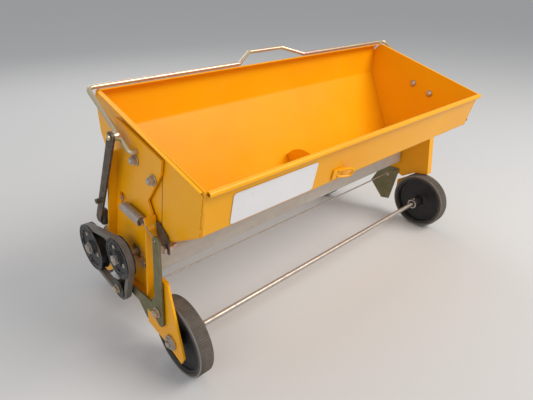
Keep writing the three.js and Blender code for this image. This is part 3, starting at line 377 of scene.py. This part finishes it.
materials = {
    # the orange paint's grime-and-shade colour is a darker orange: painted shade in its corners
    "orange_paint": makePaint("orangePaint", {
        "colour": (0.94, 0.425, 0.0, 1), "shade": (0.91, 0.385, 0.0, 1), "scratches": 0.22,
        "scratchColour": (0.95, 0.55, 0.12, 1), "wear": 0.40, "wornColour": (0.36, 0.17, 0.06, 1),
        "grimeAndShade": 0.34, "grimeAndShadeColour": (0.22, 0.07, 0.006, 1), "dust": 0.02, "smudge": 0.12,
        "rough": 0.32, "specular": 0.28, "coat": 0.08, "peel": 0.35}),
    "black_paint": makePaint("blackPaint", {
        "colour": (0.012, 0.0125, 0.014, 1), "shade": (0.018, 0.018, 0.019, 1), "scratches": 0.4,
        "scratchColour": (0.12, 0.12, 0.12, 1), "wear": 0.52, "wornColour": (0.32, 0.31, 0.30, 1),
        "grimeAndShade": 0.5, "grimeAndShadeColour": (0.05, 0.04, 0.03, 1), "dust": 0.10, "smudge": 0.2,
        "rough": 0.36, "specular": 0.32, "coat": 0.10, "peel": 0.6}),
    "label": makePaint("blankLabel", {
        "colour": (0.80, 0.79, 0.80, 1), "shade": (0.74, 0.73, 0.74, 1), "scratches": 0.3,
        "scratchColour": (0.5, 0.48, 0.45, 1), "wear": 0.3, "wornColour": (0.45, 0.42, 0.38, 1),
        "grimeAndShade": 0.2, "grimeAndShadeColour": (0.3, 0.2, 0.1, 1), "dust": 0.2, "smudge": 0.12,
        "rough": 0.36, "specular": 0.4, "coat": 0.0, "peel": 0.15}),
    "zinc": makePlated("zincPlate", {
        "colour": (0.56, 0.52, 0.47, 1), "tint": (0.60, 0.50, 0.42, 1), "dark": (0.30, 0.27, 0.24, 1),
        "mottle": 0.5, "scale": 160.0, "stretch": 1.0, "wear": 0.5, "wornColour": (0.72, 0.70, 0.66, 1),
        "grimeAndShade": 0.7, "dust": 0.3, "metal": 0.9, "rough": 0.34, "grain": 0.03}),
    "yellow_zinc": makePlated("yellowZinc", {
        "colour": (0.70, 0.60, 0.40, 1), "tint": (0.72, 0.48, 0.42, 1), "dark": (0.42, 0.40, 0.22, 1),
        "mottle": 0.4, "scale": 70.0, "stretch": 1.0, "wear": 0.5, "wornColour": (0.75, 0.73, 0.68, 1),
        "grimeAndShade": 0.6, "dust": 0.2, "metal": 0.9, "rough": 0.28, "grain": 0.02}),
    "olive_chromate": makePlated("oliveChromate", {
        "colour": (0.26, 0.245, 0.13, 1), "tint": (0.17, 0.20, 0.08, 1), "dark": (0.20, 0.13, 0.07, 1),
        "mottle": 0.6, "scale": 60.0, "stretch": 1.0, "wear": 0.55, "wornColour": (0.50, 0.46, 0.38, 1),
        "grimeAndShade": 0.6, "dust": 0.3, "metal": 0.75, "rough": 0.36, "grain": 0.03}),
    "dark_steel": makePlated("darkSteel", {
        "colour": (0.17, 0.115, 0.085, 1), "tint": (0.12, 0.11, 0.07, 1), "dark": (0.07, 0.05, 0.04, 1),
        "mottle": 0.7, "scale": 110.0, "stretch": 1.0, "wear": 0.55, "wornColour": (0.42, 0.38, 0.33, 1),
        "grimeAndShade": 0.7, "dust": 0.3, "metal": 0.7, "rough": 0.42, "grain": 0.04}),
    "aluminium": makePlated("bareAluminium", {
        "colour": (0.60, 0.555, 0.50, 1), "tint": (0.66, 0.61, 0.55, 1), "dark": (0.44, 0.39, 0.34, 1),
        "mottle": 0.4, "scale": 90.0, "stretch": 9.0, "wear": 0.72, "wornColour": (0.88, 0.84, 0.78, 1),
        "grimeAndShade": 0.35, "dust": 0.3, "metal": 0.35, "rough": 0.46, "grain": 0.04}),
    "rubber": makeRubber("blackRubber", {
        "colour": (0.018, 0.018, 0.018, 1), "worn": (0.04, 0.038, 0.036, 1), "scale": 60.0, "wear": 0.4,
        "wornColour": (0.11, 0.10, 0.09, 1), "dust": 0.4, "rough": 0.55, "grain": 0.08}),
    "tyre": makeRubber("tyreRubber", {
        "colour": (0.060, 0.048, 0.038, 1), "worn": (0.115, 0.092, 0.072, 1), "scale": 38.0, "wear": 0.62,
        "wornColour": (0.20, 0.18, 0.16, 1), "side": (0.25, 0.235, 0.22, 1), "dust": 0.35, "rough": 0.70,
        "grain": 0.15}),
    "belt": makeRubber("beltRubber", {
        "colour": (0.13, 0.112, 0.096, 1), "worn": (0.21, 0.185, 0.165, 1), "scale": 80.0, "wear": 0.72,
        "wornColour": (0.42, 0.39, 0.36, 1), "dust": 0.4, "rough": 0.62, "grain": 0.12}),
}
print("materials made:", len(materials))


# pieces
def finish(bm, name, body, slot, replaced=(), smooth=32.0, bevel=None, material=None):
    mesh = bpy.data.meshes.new(name)
    bm.to_mesh(mesh)
    bm.free()
    piece = bpy.data.objects.new(name, mesh)
    bpy.context.scene.collection.objects.link(piece)
    mesh.materials.append(material or materials[slot])
    mesh.polygons.foreach_set("use_smooth", [True] * len(mesh.polygons))
    mesh.set_sharp_from_angle(angle=math.radians(smooth))
    if bevel:
        rounding = piece.modifiers.new("roundedEdges", "BEVEL")
        rounding.width = bevel
        rounding.segments = 2
        rounding.limit_method = "ANGLE"
        rounding.angle_limit = math.radians(40)
        rounding.harden_normals = True
    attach(piece, body)
    if replaced:
        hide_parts(*replaced)
    return piece


def cadCopy(node):
    bm = bmesh.new()
    bm.from_mesh(nodes[node].data)
    bmesh.ops.remove_doubles(bm, verts=bm.verts, dist=2e-6)
    return bm


def flatten(bm):        # one face for each flat side, so that edges bevel cleanly
    bmesh.ops.dissolve_limit(bm, angle_limit=math.radians(0.8), verts=bm.verts, edges=bm.edges)


def bendEdges(bm, width, low, high, segments=4, longer=0.2):
    folds = []
    for edge in bm.edges:
        if edge.is_manifold and edge.calc_length() > longer:
            if low < math.degrees(edge.calc_face_angle()) < high:
                folds.append(edge)
    bmesh.ops.bevel(bm, geom=folds, offset=width, offset_type="OFFSET", affect="EDGES", segments=segments,
                    profile=0.5, material=-1, clamp_overlap=True)


def refined(node, bevel=0.35 * mm, smooth=32.0):
    bm = cadCopy(node)
    flatten(bm)
    return finish(bm, node + "_finished", bodyOf[node], slotOf[node], [node], smooth, bevel)


def rounded(node, steps=96, bevel=0.3 * mm):        # a turned part, spun again from its own section
    low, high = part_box(node)
    centre = (low + high) / 2
    bm = cadCopy(node)
    outermost = max(bm.verts, key=lambda v: (v.co - centre).yz.length)
    spoke = math.atan2(outermost.co.z - centre.z, outermost.co.y - centre.y)
    other = []
    for vert in bm.verts:
        reach = (vert.co - centre).yz
        away = math.atan2(reach.y, reach.x) - spoke
        if reach.length > 1e-5 and abs(math.sin(away / 2)) > 2e-3:
            other.append(vert)
    bmesh.ops.delete(bm, geom=other, context="VERTS")
    bmesh.ops.spin(bm, geom=bm.verts[:] + bm.edges[:], cent=centre, axis=along, angle=math.tau,
                   steps=steps, use_merge=True, use_duplicate=False)
    bmesh.ops.remove_doubles(bm, verts=bm.verts, dist=2e-6)
    bmesh.ops.recalc_face_normals(bm, faces=bm.faces)
    return finish(bm, node + "_finished", bodyOf[node], slotOf[node], [node], 32.0, bevel)


def clean(bm):
    bmesh.ops.remove_doubles(bm, verts=bm.verts, dist=2e-6)
    bmesh.ops.recalc_face_normals(bm, faces=bm.faces)


def turn(bm, profile, centre, steps=64):        # points of (distance along X, radius) in millimetres
    points = [bm.verts.new(centre + Vector((x, 0, radius)) * mm) for x, radius in profile]
    lines = [bm.edges.new(pair) for pair in zip(points, points[1:])]
    if profile[0][1] > 0 or profile[-1][1] > 0:
        lines.append(bm.edges.new((points[-1], points[0])))
    bmesh.ops.spin(bm, geom=points + lines, cent=centre, axis=along, angle=math.tau, steps=steps,
                   use_merge=True, use_duplicate=False)


def hexHead(bm, centre, across, start, end):        # a hexagon with its corners turned off at both faces
    flat = across / 2
    rings = []
    for x, capped, inwards in ((start, True, 0), (start, False, 1), (end, False, -1), (end, True, 0)):
        ring = bmesh.ops.create_circle(bm, cap_ends=capped, segments=48, radius=1.0)["verts"]
        for i, vert in enumerate(ring):
            angle = math.tau * i / len(ring)
            corner = flat / math.cos((angle + math.pi / 6) % (math.pi / 3) - math.pi / 6)
            radius = flat if capped else corner
            lower = (0.08 + (corner - flat) * 0.58) * inwards * math.copysign(1, end - start)
            vert.co = centre + Vector((x + lower, radius * math.cos(angle), radius * math.sin(angle))) * mm
        rings.append(set(ring))
    for one, other in zip(rings, rings[1:]):
        edges = [e for e in bm.edges if e.verts[0] in one and e.verts[1] in one]
        edges += [e for e in bm.edges if e.verts[0] in other and e.verts[1] in other]
        bmesh.ops.bridge_loops(bm, edges=edges)


def thread(bm, centre, radius, start, end, pitch=1.0):
    step = math.copysign(pitch / 2, end - start)
    count = int(abs(end - start) / abs(step)) // 2 * 2
    profile = [(start, 0), (start, radius)]
    profile += [(start + step * i, radius - (0.35 if i % 2 else 0)) for i in range(1, count)]
    profile += [(end - step, radius - 0.1), (end, radius - 0.8), (end, 0)]
    turn(bm, profile, centre, 24)


def washer(bm, centre, radius, bore, start, end):
    ease = 0.25 if end > start else -0.25
    turn(bm, [(start, bore), (start, radius - 0.25), (start + ease, radius), (end - ease, radius),
              (end, radius - 0.25), (end, bore)], centre, 48)


def fasten(name, build, replaced=(), body=None, slot=None, smooth=28.0):
    bm = bmesh.new()
    build(bm)
    clean(bm)
    first = replaced[0] if replaced else None
    return finish(bm, name, body or bodyOf[first], slot or slotOf[first], replaced, smooth)


def roundedPath(corners, bend, steps=8):
    path = [corners[0]]
    for before, corner, after in zip(corners, corners[1:], corners[2:]):
        into = (before - corner).normalized()
        out = (after - corner).normalized()
        reach = bend * mm / math.tan(into.angle(out) / 2)
        reach = min(reach, (before - corner).length * 0.45, (after - corner).length * 0.45)
        for i in range(steps + 1):
            share = i / steps
            a = corner + into * reach * (1 - share)
            b = corner + out * reach * share
            path.append(a.lerp(b, share))
    return path + [corners[-1]]


def tube(bm, path, radius, around=4):        # around is the curve's bevel resolution
    data = bpy.data.curves.new("tubePath", "CURVE")
    data.dimensions = "3D"
    data.bevel_depth = radius * mm
    data.bevel_resolution = around
    data.use_fill_caps = True
    line = data.splines.new("POLY")
    line.points.add(len(path) - 1)
    for point, place in zip(line.points, path):
        point.co = (*place, 1)
    carrier = bpy.data.objects.new("tubePath", data)
    mesh = bpy.data.meshes.new_from_object(carrier)
    bm.from_mesh(mesh)
    bpy.data.objects.remove(carrier)
    bpy.data.curves.remove(data)
    bpy.data.meshes.remove(mesh)


def slab(bm, outline, xa, xb):        # a plate between two X values, from an outline of (y, z)
    face = bm.faces.new([bm.verts.new(at(xa, y, z)) for y, z in outline])
    moved = bmesh.ops.extrude_face_region(bm, geom=[face])["geom"]
    verts = [v for v in moved if isinstance(v, bmesh.types.BMVert)]
    bmesh.ops.translate(bm, verts=verts, vec=along * (xb - xa) * mm)


makeCamera()
makeStudio()


# sheet metal: hopper, frames, legs
foldSettings = {"hopper": 2.2 * mm, "gate": 1.6 * mm, "frame": 1.2 * mm}


def sheetWithBends(node, width, low=8, high=80, bevel=0.3 * mm):
    bm = cadCopy(node)
    flatten(bm)
    bendEdges(bm, width, low, high)
    return finish(bm, node + "_finished", bodyOf[node], slotOf[node], [node], 25.0, bevel)


sheetWithBends("hopper_back_sheet", foldSettings["hopper"], 20, 70)
sheetWithBends("hopper_front_sheet", foldSettings["hopper"], 35, 70)
sheetWithBends("gate_plate", foldSettings["gate"])
for side in ("left", "right"):
    for plain in ("hopper_end", "side_frame", "front_leg", "rear_leg", "deflector"):
        refined(plain + "_" + side, 0.45 * mm)
for plain in ("hopper_gusset", "front_ring", "tension_lever", "link_bar",
              "rear_sprocket", "drive_sprocket", "drive_chain", "feed_roller",
              "front_axle", "rear_axle", "levelling_wire"):
    refined(plain)
for turned in ("front_bush_left", "front_bush_right", "rear_bush_left", "rear_bush_right",
               "feed_bearing_left", "feed_bearing_right", "drive_bearing", "drive_pulley",
               "driven_pulley", "idler_pulley", "link_roller"):
    rounded(turned)
refined("v_belt", 0.9 * mm)
print("plates and turned parts done")


# hopper details
hopper = {
    "halfLength": 300,
    "seamAt": 298.35,
    "weldRadius": 1.3,
    "backPath": [(154, 345), (154, 303), (98, 173), (108, 165), (108, 140)],
    "frontPath": [(-73.6, 288), (-61, 236), (70, 166)],
    "lipCentre": (141, 346),
    "lipRadius": 13,
    "skinEdge": [(-3, 313), (16, 224), (22.5, 193)],
    "skinFront": [(-60.5, 237), (-72.5, 290)],
    "skin": 0.9,
    "spotWelds": [(-66, 267.6), (-62.5, 245), (-70, 288)],
    "labelFrom": -261,
    "labelTo": -125.5,
    "labelDrop": (9, 51.5),
    "labelCorner": 4,
}


def hopperWelds():
    lipY, lipZ = hopper["lipCentre"]
    lip = [(lipY + hopper["lipRadius"] * math.cos(math.radians(a)),
            lipZ + hopper["lipRadius"] * math.sin(math.radians(a))) for a in range(98, 4, -12)]
    for side, sign in sides:
        bm = bmesh.new()
        for route in (lip + hopper["backPath"], hopper["frontPath"]):
            tube(bm, [at(sign * hopper["seamAt"], y, z) for y, z in route], hopper["weldRadius"], 2)
        clean(bm)
        finish(bm, "hopper_weld_" + side, "chassis", "orange_paint", (), 60.0)


def endSkins():
    outline = hopper["skinEdge"] + hopper["skinFront"]
    for side, sign in sides:
        bm = bmesh.new()
        slab(bm, outline, sign * hopper["halfLength"], sign * (hopper["halfLength"] + hopper["skin"]))
        bmesh.ops.recalc_face_normals(bm, faces=bm.faces)
        finish(bm, "end_skin_" + side, "chassis", "orange_paint", (), 30.0, 0.3 * mm)
        # painted shadow: a dark strip behind the skin's rear edge stands for the step's shadow line, partly a
        # seam
        shadowSeam = bmesh.new()
        path = [(y + 1.1, z) for y, z in hopper["skinEdge"]]
        tube(shadowSeam, [at(sign * (hopper["halfLength"] + 0.1), y, z) for y, z in path], 0.7, 2)
        finish(shadowSeam, "end_seam_shadow_" + side, "chassis", "dark_steel", (), 60.0)


def spotWelds():
    bm = bmesh.new()
    for sign in (-1, 1):
        face = sign * (hopper["halfLength"] + hopper["skin"])
        for y, z in hopper["spotWelds"]:
            turn(bm, [(face - sign * 0.3, 0), (face - sign * 0.3, 3.0), (face + sign * 0.25, 2.7),
                      (face + sign * 0.35, 2.1), (face + sign * 0.05, 1.2), (face + sign * 0.0, 0)],
                 at(0, y, z), 32)
    clean(bm)
    finish(bm, "spot_welds", "chassis", "orange_paint", (), 60.0)


def makeLabel():
    top = Vector((-73.6, 288))
    down = (Vector((-61, 236)) - top).normalized()
    out = Vector((down.y, -down.x))
    first, last = hopper["labelDrop"]
    left, right, corner = hopper["labelFrom"], hopper["labelTo"], hopper["labelCorner"]
    outline = []
    for x, drop, turned in ((right - corner, first + corner, 90), (right - corner, last - corner, 0),
                            (left + corner, last - corner, -90), (left + corner, first + corner, -180)):
        for i in range(7):
            angle = math.radians(turned - 15 * i)
            place = top + down * (drop - corner * math.sin(angle)) + out * 1.1
            outline.append(at(x + corner * math.cos(angle), *place))
    bm = bmesh.new()
    face = bm.faces.new([bm.verts.new(point) for point in outline])
    moved = bmesh.ops.extrude_face_region(bm, geom=[face])["geom"]
    verts = [v for v in moved if isinstance(v, bmesh.types.BMVert)]
    bmesh.ops.translate(bm, verts=verts, vec=Vector((0, out.x, out.y)) * 0.6 * mm)
    bmesh.ops.recalc_face_normals(bm, faces=bm.faces)
    finish(bm, "blank_label_finished", "chassis", "label", ["blank_label"], 30.0, 0.12 * mm)


hopperWelds()
endSkins()
spotWelds()
makeLabel()
print("hopper details done")


# fasteners
fastener = {
    "thread": 3.0,
    "across": 10.0,
    "washer": 7.0,
    "domeRadius": 6.5,
    "domeHeight": 3.8,
    "panelInner": 298.3,
    "webOuter": 305.0,
    "pulleyFar": 335.0,
    "frameBolts": {"rear": (54, 293), "front": (17, 279)},
    "leverPivot": (20, 96),
    "idler": (101, 96),
    "gateBolt": (66, 142),
}


def frameBolt(sign, y, z):
    def build(bm):
        centre = at(0, y, z)
        inner = fastener["panelInner"]
        dome = [(sign * (inner - fastener["domeHeight"] * math.sin(math.radians(a))),
                 fastener["domeRadius"] * math.cos(math.radians(a))) for a in range(0, 90, 10)]
        turn(bm, [(sign * inner, 0)] + dome + [(sign * (inner - fastener["domeHeight"]), 0)], centre, 40)
        face = sign * (fastener["webOuter"] + 0.3)
        washer(bm, centre, fastener["washer"], 3.1, face, face + sign * 1.4)
        hexHead(bm, centre, fastener["across"], face + sign * 1.3, face + sign * 6.3)
        thread(bm, centre, fastener["thread"], face + sign * 6.0, face + sign * 8.6)
    return build


def boltStack(sign, place, washers, head, threadEnd, across):
    def build(bm):
        centre = at(0, *place)
        for radius, start, end in washers:
            washer(bm, centre, radius, 3.0, sign * start, sign * end)
        hexHead(bm, centre, across, sign * head[0], sign * head[1])
        if threadEnd:
            thread(bm, centre, fastener["thread"], sign * (head[1] - 0.3), sign * threadEnd)
    return build


for side, sign in sides:
    for place, (y, z) in fastener["frameBolts"].items():
        node = f"frame_bolt_{side}_{place}"
        fasten(node + "_finished", frameBolt(sign, y, z), [node])
    gate = boltStack(sign, fastener["gateBolt"], [], (305.3, 309.6), None, fastener["across"])
    fasten(f"gate_nut_{side}", gate, (), "chassis", "yellow_zinc")
    refined("gate_bolt_" + side)
across = fastener["across"]
pivotWashers = [(7.5, 321.1, 322.3), (7.5, 316.3, 317.5)]        # radius, and the two faces
pivot = boltStack(-1, fastener["leverPivot"], pivotWashers, (322.2, 327.0), 328.6, across)
fasten("lever_pivot_bolt_finished", pivot, ["lever_pivot_bolt"])
idlerWashers = [(6.5, 335.3, 336.3), (6.0, 321.1, 321.7)]
idler = boltStack(-1, fastener["idler"], idlerWashers, (336.2, 340.3), 341.2, across)
fasten("idler_bolt_finished", idler, ["idler_bolt"])
print("fasteners done")


# shafts and pulley faces
shafts = {
    "radius": 5.0,
    "drive": (178, 127),
    "feed": (88, 151),
    "driveTo": -285.7,
    "feedTo": 309.0,
    "nut": 13.0,
    "faceBolts": 3,
    "faceBoltReach": {"drive": 21.0, "driven": 17.0},
}


def makeShaft(node, place, inner, square):
    def build(bm):
        centre = at(0, *place)
        far = fastener["pulleyFar"]
        turn(bm, [(inner, 0), (inner, 4.4), (inner - math.copysign(0.6, inner), 5.0), (-far - 0.2, 5.0),
                  (-far - 0.2, 0)], centre, 40)
        if square:
            outline = [(place[0] + 8.5 * math.cos(a), place[1] + 8.5 * math.sin(a))
                       for a in (math.radians(20 + 90 * i) for i in range(4))]
            slab(bm, outline, -far - 0.3, -far - 1.9)
        else:
            washer(bm, centre, 8.5, 4.9, -far - 0.3, -far - 1.8)
        hexHead(bm, centre, shafts["nut"], -far - 1.7, -far - 5.2)
        thread(bm, centre, 3.6, -far - 5.0, -far - 6.4)
    fasten(node + "_finished", build, [node])


def faceBolts(name, body, place, reach):
    def build(bm):
        for i in range(shafts["faceBolts"]):
            angle = math.radians(70 + 360 * i / shafts["faceBolts"])
            centre = at(0, place[0] + reach * math.cos(angle), place[1] + reach * math.sin(angle))
            far = fastener["pulleyFar"] - 3
            hexHead(bm, centre, 5.5, -far + 0.5, -far - 2.4)
    fasten(name, build, (), body, "zinc")


makeShaft("drive_shaft", shafts["drive"], shafts["driveTo"], False)
makeShaft("feed_shaft", shafts["feed"], shafts["feedTo"], True)
faceBolts("drive_pulley_bolts", "drive", shafts["drive"], shafts["faceBoltReach"]["drive"])
faceBolts("driven_pulley_bolts", "feed", shafts["feed"], shafts["faceBoltReach"]["driven"])
print("shafts done")


# wheels: ribbed tyres on hubs that are dished deeper on the inner side
wheel = {
    "radius": 56.0,
    "width": 21.6,
    "tyre": 6.0,
    "ribs": 96,
    "ribDepth": 0.9,
    "boss": 10.0,
    "bossLength": 38.0,
    "bore": 4.3,
    "front": {"y": 0.0, "offset": 298.6},
    "rear": {"y": 240.0, "offset": 262.0},
}


def makeTyre(node, x, y):
    half = wheel["width"] / 2
    outer, inner = wheel["radius"], wheel["radius"] - wheel["tyre"]
    centre = at(x, y, wheel["radius"])
    bm = bmesh.new()
    shoulder = [(half, inner), (half - 0.5, outer - 3.3), (half - 0.1, outer - 2.5), (half - 0.7, outer - 1.0),
                (half - 2.0, outer)]
    turn(bm, [(-px, radius) for px, radius in shoulder] + [(0, outer)] + shoulder[::-1], centre,
         wheel["ribs"] * 4)
    clean(bm)
    wall = bm.verts.layers.float.new("wall")
    for vert in bm.verts:
        reach = (vert.co - centre).yz
        share = (math.atan2(reach.y, reach.x) / math.tau * wheel["ribs"]) % 1.0
        if reach.length > (outer - 0.5) * mm and 0.3 < share < 0.9:
            vert.co -= Vector((0, reach.x, reach.y)).normalized() * wheel["ribDepth"] * mm
        if (outer - 2.8) * mm < reach.length < (outer - 0.5) * mm:
            vert[wall] = 1.0
    finish(bm, node + "_finished", bodyOf[node], "tyre", [node], 30.0)


def makeHub(node, x, y, sign):
    half = wheel["width"] / 2 - 1
    rim = wheel["radius"] - wheel["tyre"] - 0.3
    boss, bore = wheel["boss"], wheel["bore"]
    end = half - 3 - wheel["bossLength"]
    profile = [(half, rim), (half, rim - 3.5), (half - 1, rim - 4.4), (5.6, rim - 5), (4.8, rim - 6.6),
               (4.4, boss + 6), (5.0, boss + 2), (half - 3.8, boss - 0.4), (half - 3, boss - 1.2),
               (half - 3, bore), (end + 3, bore), (end + 3, 6.8), (end, 6.8),
               (end, boss - 0.6), (end + 0.6, boss), (-1.6, boss), (0.8, boss + 2.2), (1.2, boss + 6),
               (1.4, rim - 7.5), (0.4, rim - 5.4), (-half + 1, rim - 4.2), (-half, rim - 3.5), (-half, rim)]
    bm = bmesh.new()
    turn(bm, [(sign * px, radius) for px, radius in profile], at(x, y, wheel["radius"]), 96)
    clean(bm)
    finish(bm, node + "_finished", bodyOf[node], "black_paint", [node], 26.0)
    ring = bmesh.new()
    turn(ring, [(sign * (end + 0.2), 7.0), (sign * (end - 0.25), 7.2), (sign * (end - 0.25), boss - 0.9),
                (sign * (end + 0.2), boss - 0.5)], at(x, y, wheel["radius"]), 64)
    clean(ring)
    finish(ring, node.replace("hub", "boss_ring"), bodyOf[node], "zinc", (), 30.0)


for end in ("front", "rear"):
    for side, sign in sides:
        middle = sign * wheel[end]["offset"]
        makeTyre(f"{end}_tyre_{side}", middle, wheel[end]["y"])
        makeHub(f"{end}_hub_{side}", middle, wheel[end]["y"], sign)
for side in ("left", "right"):
    refined("front_set_screw_" + side)
print("wheels done")


# bail handle: one bent rod with the link's pin welded to its left arm
handle = {
    "rod": 3.0,
    "pivot": (48, 305),
    "reach": (142, 363.4),
    "armAt": 313,
    "endAt": 302.4,
    "rampHalf": 72,
    "gripHalf": 37,
    "rise": (18, 12),
    "bend": 9,
    "pinReach": 28.8,
    "pinFrom": 311,
    "pinTo": 327,
    "linkInner": 321,
}


def makeHandle():
    pivotY, pivotZ = handle["pivot"]
    reachY, reachZ = handle["reach"]
    corners = []
    for sign in (-1, 1):
        half = [at(sign * handle["endAt"], pivotY, pivotZ), at(sign * handle["armAt"], pivotY, pivotZ),
                at(sign * handle["armAt"], reachY, reachZ), at(sign * handle["rampHalf"], reachY, reachZ),
                at(sign * handle["gripHalf"], reachY + handle["rise"][0], reachZ + handle["rise"][1])]
        corners += half if sign < 0 else half[::-1]
    lean = math.atan2(reachZ - pivotZ, reachY - pivotY)
    pin = at(0, pivotY + handle["pinReach"] * math.cos(lean), pivotZ + handle["pinReach"] * math.sin(lean))
    bm = bmesh.new()
    tube(bm, roundedPath(corners, handle["bend"]), handle["rod"], 6)
    turn(bm, [(-handle["pinFrom"], 0), (-handle["pinFrom"], 3.5), (-handle["pinTo"] + 0.6, 3.5),
              (-handle["pinTo"], 2.9), (-handle["pinTo"], 0)], pin, 40)
    arm, stop = -handle["armAt"], -handle["linkInner"]
    turn(bm, [(arm + 3.4, 0), (arm + 2.4, 4.2), (arm, 5.6), (arm - 3, 5.9), (stop + 1, 5.6), (stop + 0.4, 0)],
         pin, 40)
    clean(bm)
    finish(bm, "bail_handle_finished", "handle", "yellow_zinc", ["bail_handle"], 40.0)


makeHandle()
print("handle done")


# tension spring: close-wound coils with a hook at each end, stretched by the lever
spring = {
    "wire": 0.95,
    "coil": 6.2,
    "turns": 18,
    "perTurn": 22,
    "at": -312.7,
    "back": (89, 222.33),
    "front": (45, 216.73),
    "anchor": (-303.6, 111, 222),
    "leverHole": (-319.3, 1, 211),
}


def makeSpring():
    start = at(spring["at"], *spring["back"])
    finishAt = at(spring["at"], *spring["front"])
    forward = (finishAt - start).normalized()
    up = forward.cross(along).normalized()
    hookA = at(*spring["anchor"])
    hookB = at(*spring["leverHole"])
    path = [hookA + Vector((-1, -2.5, 4)) * mm, hookA + Vector((-3, 0.5, 2.5)) * mm, hookA,
            hookA.lerp(start, 0.45), hookA.lerp(start, 0.8)]
    total = spring["turns"] * spring["perTurn"]
    for i in range(total + 1):
        angle = math.tau * i / spring["perTurn"]
        grow = min(1.0, (i + 2) / 10, (total - i + 2) / 10)
        radial = (along * math.cos(angle) + up * math.sin(angle)) * spring["coil"] * grow * mm
        path.append(start.lerp(finishAt, i / total) + radial)
    path += [finishAt.lerp(hookB, 0.25), finishAt.lerp(hookB, 0.75),
             hookB + Vector((1.4, 0.6, 0.4)) * mm, hookB, hookB + Vector((-2.4, 0.6, 1.0)) * mm]
    bm = bmesh.new()
    tube(bm, path, spring["wire"], 2)
    clean(bm)
    mesh = bpy.data.meshes.new("tension_spring_finished")
    bm.to_mesh(mesh)
    bm.free()
    piece = bpy.data.objects.new("tension_spring_finished", mesh)
    bpy.context.scene.collection.objects.link(piece)
    mesh.materials.append(materials["zinc"])
    mesh.polygons.foreach_set("use_smooth", [True] * len(mesh.polygons))
    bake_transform(piece)
    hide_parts("tension_spring")


makeSpring()
print("spring done")


# adjusting bolt and its bracket, under the hopper's left corner, and the deflectors' rivets
adjuster = {
    "bracket": [(26, 222), (20, 221.5), (4, 210), (2, 200), (3, 184), (16, 184), (27, 204)],
    "bracketAt": (-303.8, -301.9),
    "bolt": (10, 190),
    "boltFrom": -301.0,
    "boltTo": -288.0,
    "nuts": ((-301.7, -296.4), (-304.0, -308.0)),
    "rivet": [(299.6, 0), (299.6, 4.5), (298.2, 4.0), (297.4, 2.4), (297.1, 0)],
    "rivetAt": (84.3, 89),
}


def makeAdjuster():
    bm = bmesh.new()
    slab(bm, adjuster["bracket"], *adjuster["bracketAt"])
    bmesh.ops.recalc_face_normals(bm, faces=bm.faces)
    finish(bm, "adjuster_bracket", "chassis", "dark_steel", (), 30.0, 0.3 * mm)
    bolt = bmesh.new()
    centre = at(0, *adjuster["bolt"])
    thread(bolt, centre, fastener["thread"], adjuster["boltFrom"], adjuster["boltTo"])
    for start, end in adjuster["nuts"]:
        hexHead(bolt, centre, fastener["across"], start, end)
    clean(bolt)
    finish(bolt, "adjuster_bolt", "chassis", "yellow_zinc", (), 28.0)
    dot = bmesh.new()
    for sign in (-1, 1):
        turn(dot, [(sign * px, radius) for px, radius in adjuster["rivet"]], at(0, *adjuster["rivetAt"]), 32)
    clean(dot)
    finish(dot, "deflector_rivets", "chassis", "zinc", (), 40.0)


makeAdjuster()
print("adjuster done")


# floor
floorMaterial, _, floorShader, _ = startMaterial("paleFloor")
floorShader.inputs["Base Color"].default_value = (*studio["floorColour"], 1)
floorShader.inputs["Roughness"].default_value = 0.85
floorMesh = bmesh.new()
bmesh.ops.create_grid(floorMesh, x_segments=1, y_segments=1, size=studio["floorHalf"])
floorData = bpy.data.meshes.new("floor")
floorMesh.to_mesh(floorData)
floorMesh.free()
floorData.materials.append(floorMaterial)
floor = bpy.data.objects.new("floor", floorData)
bpy.context.scene.collection.objects.link(floor)
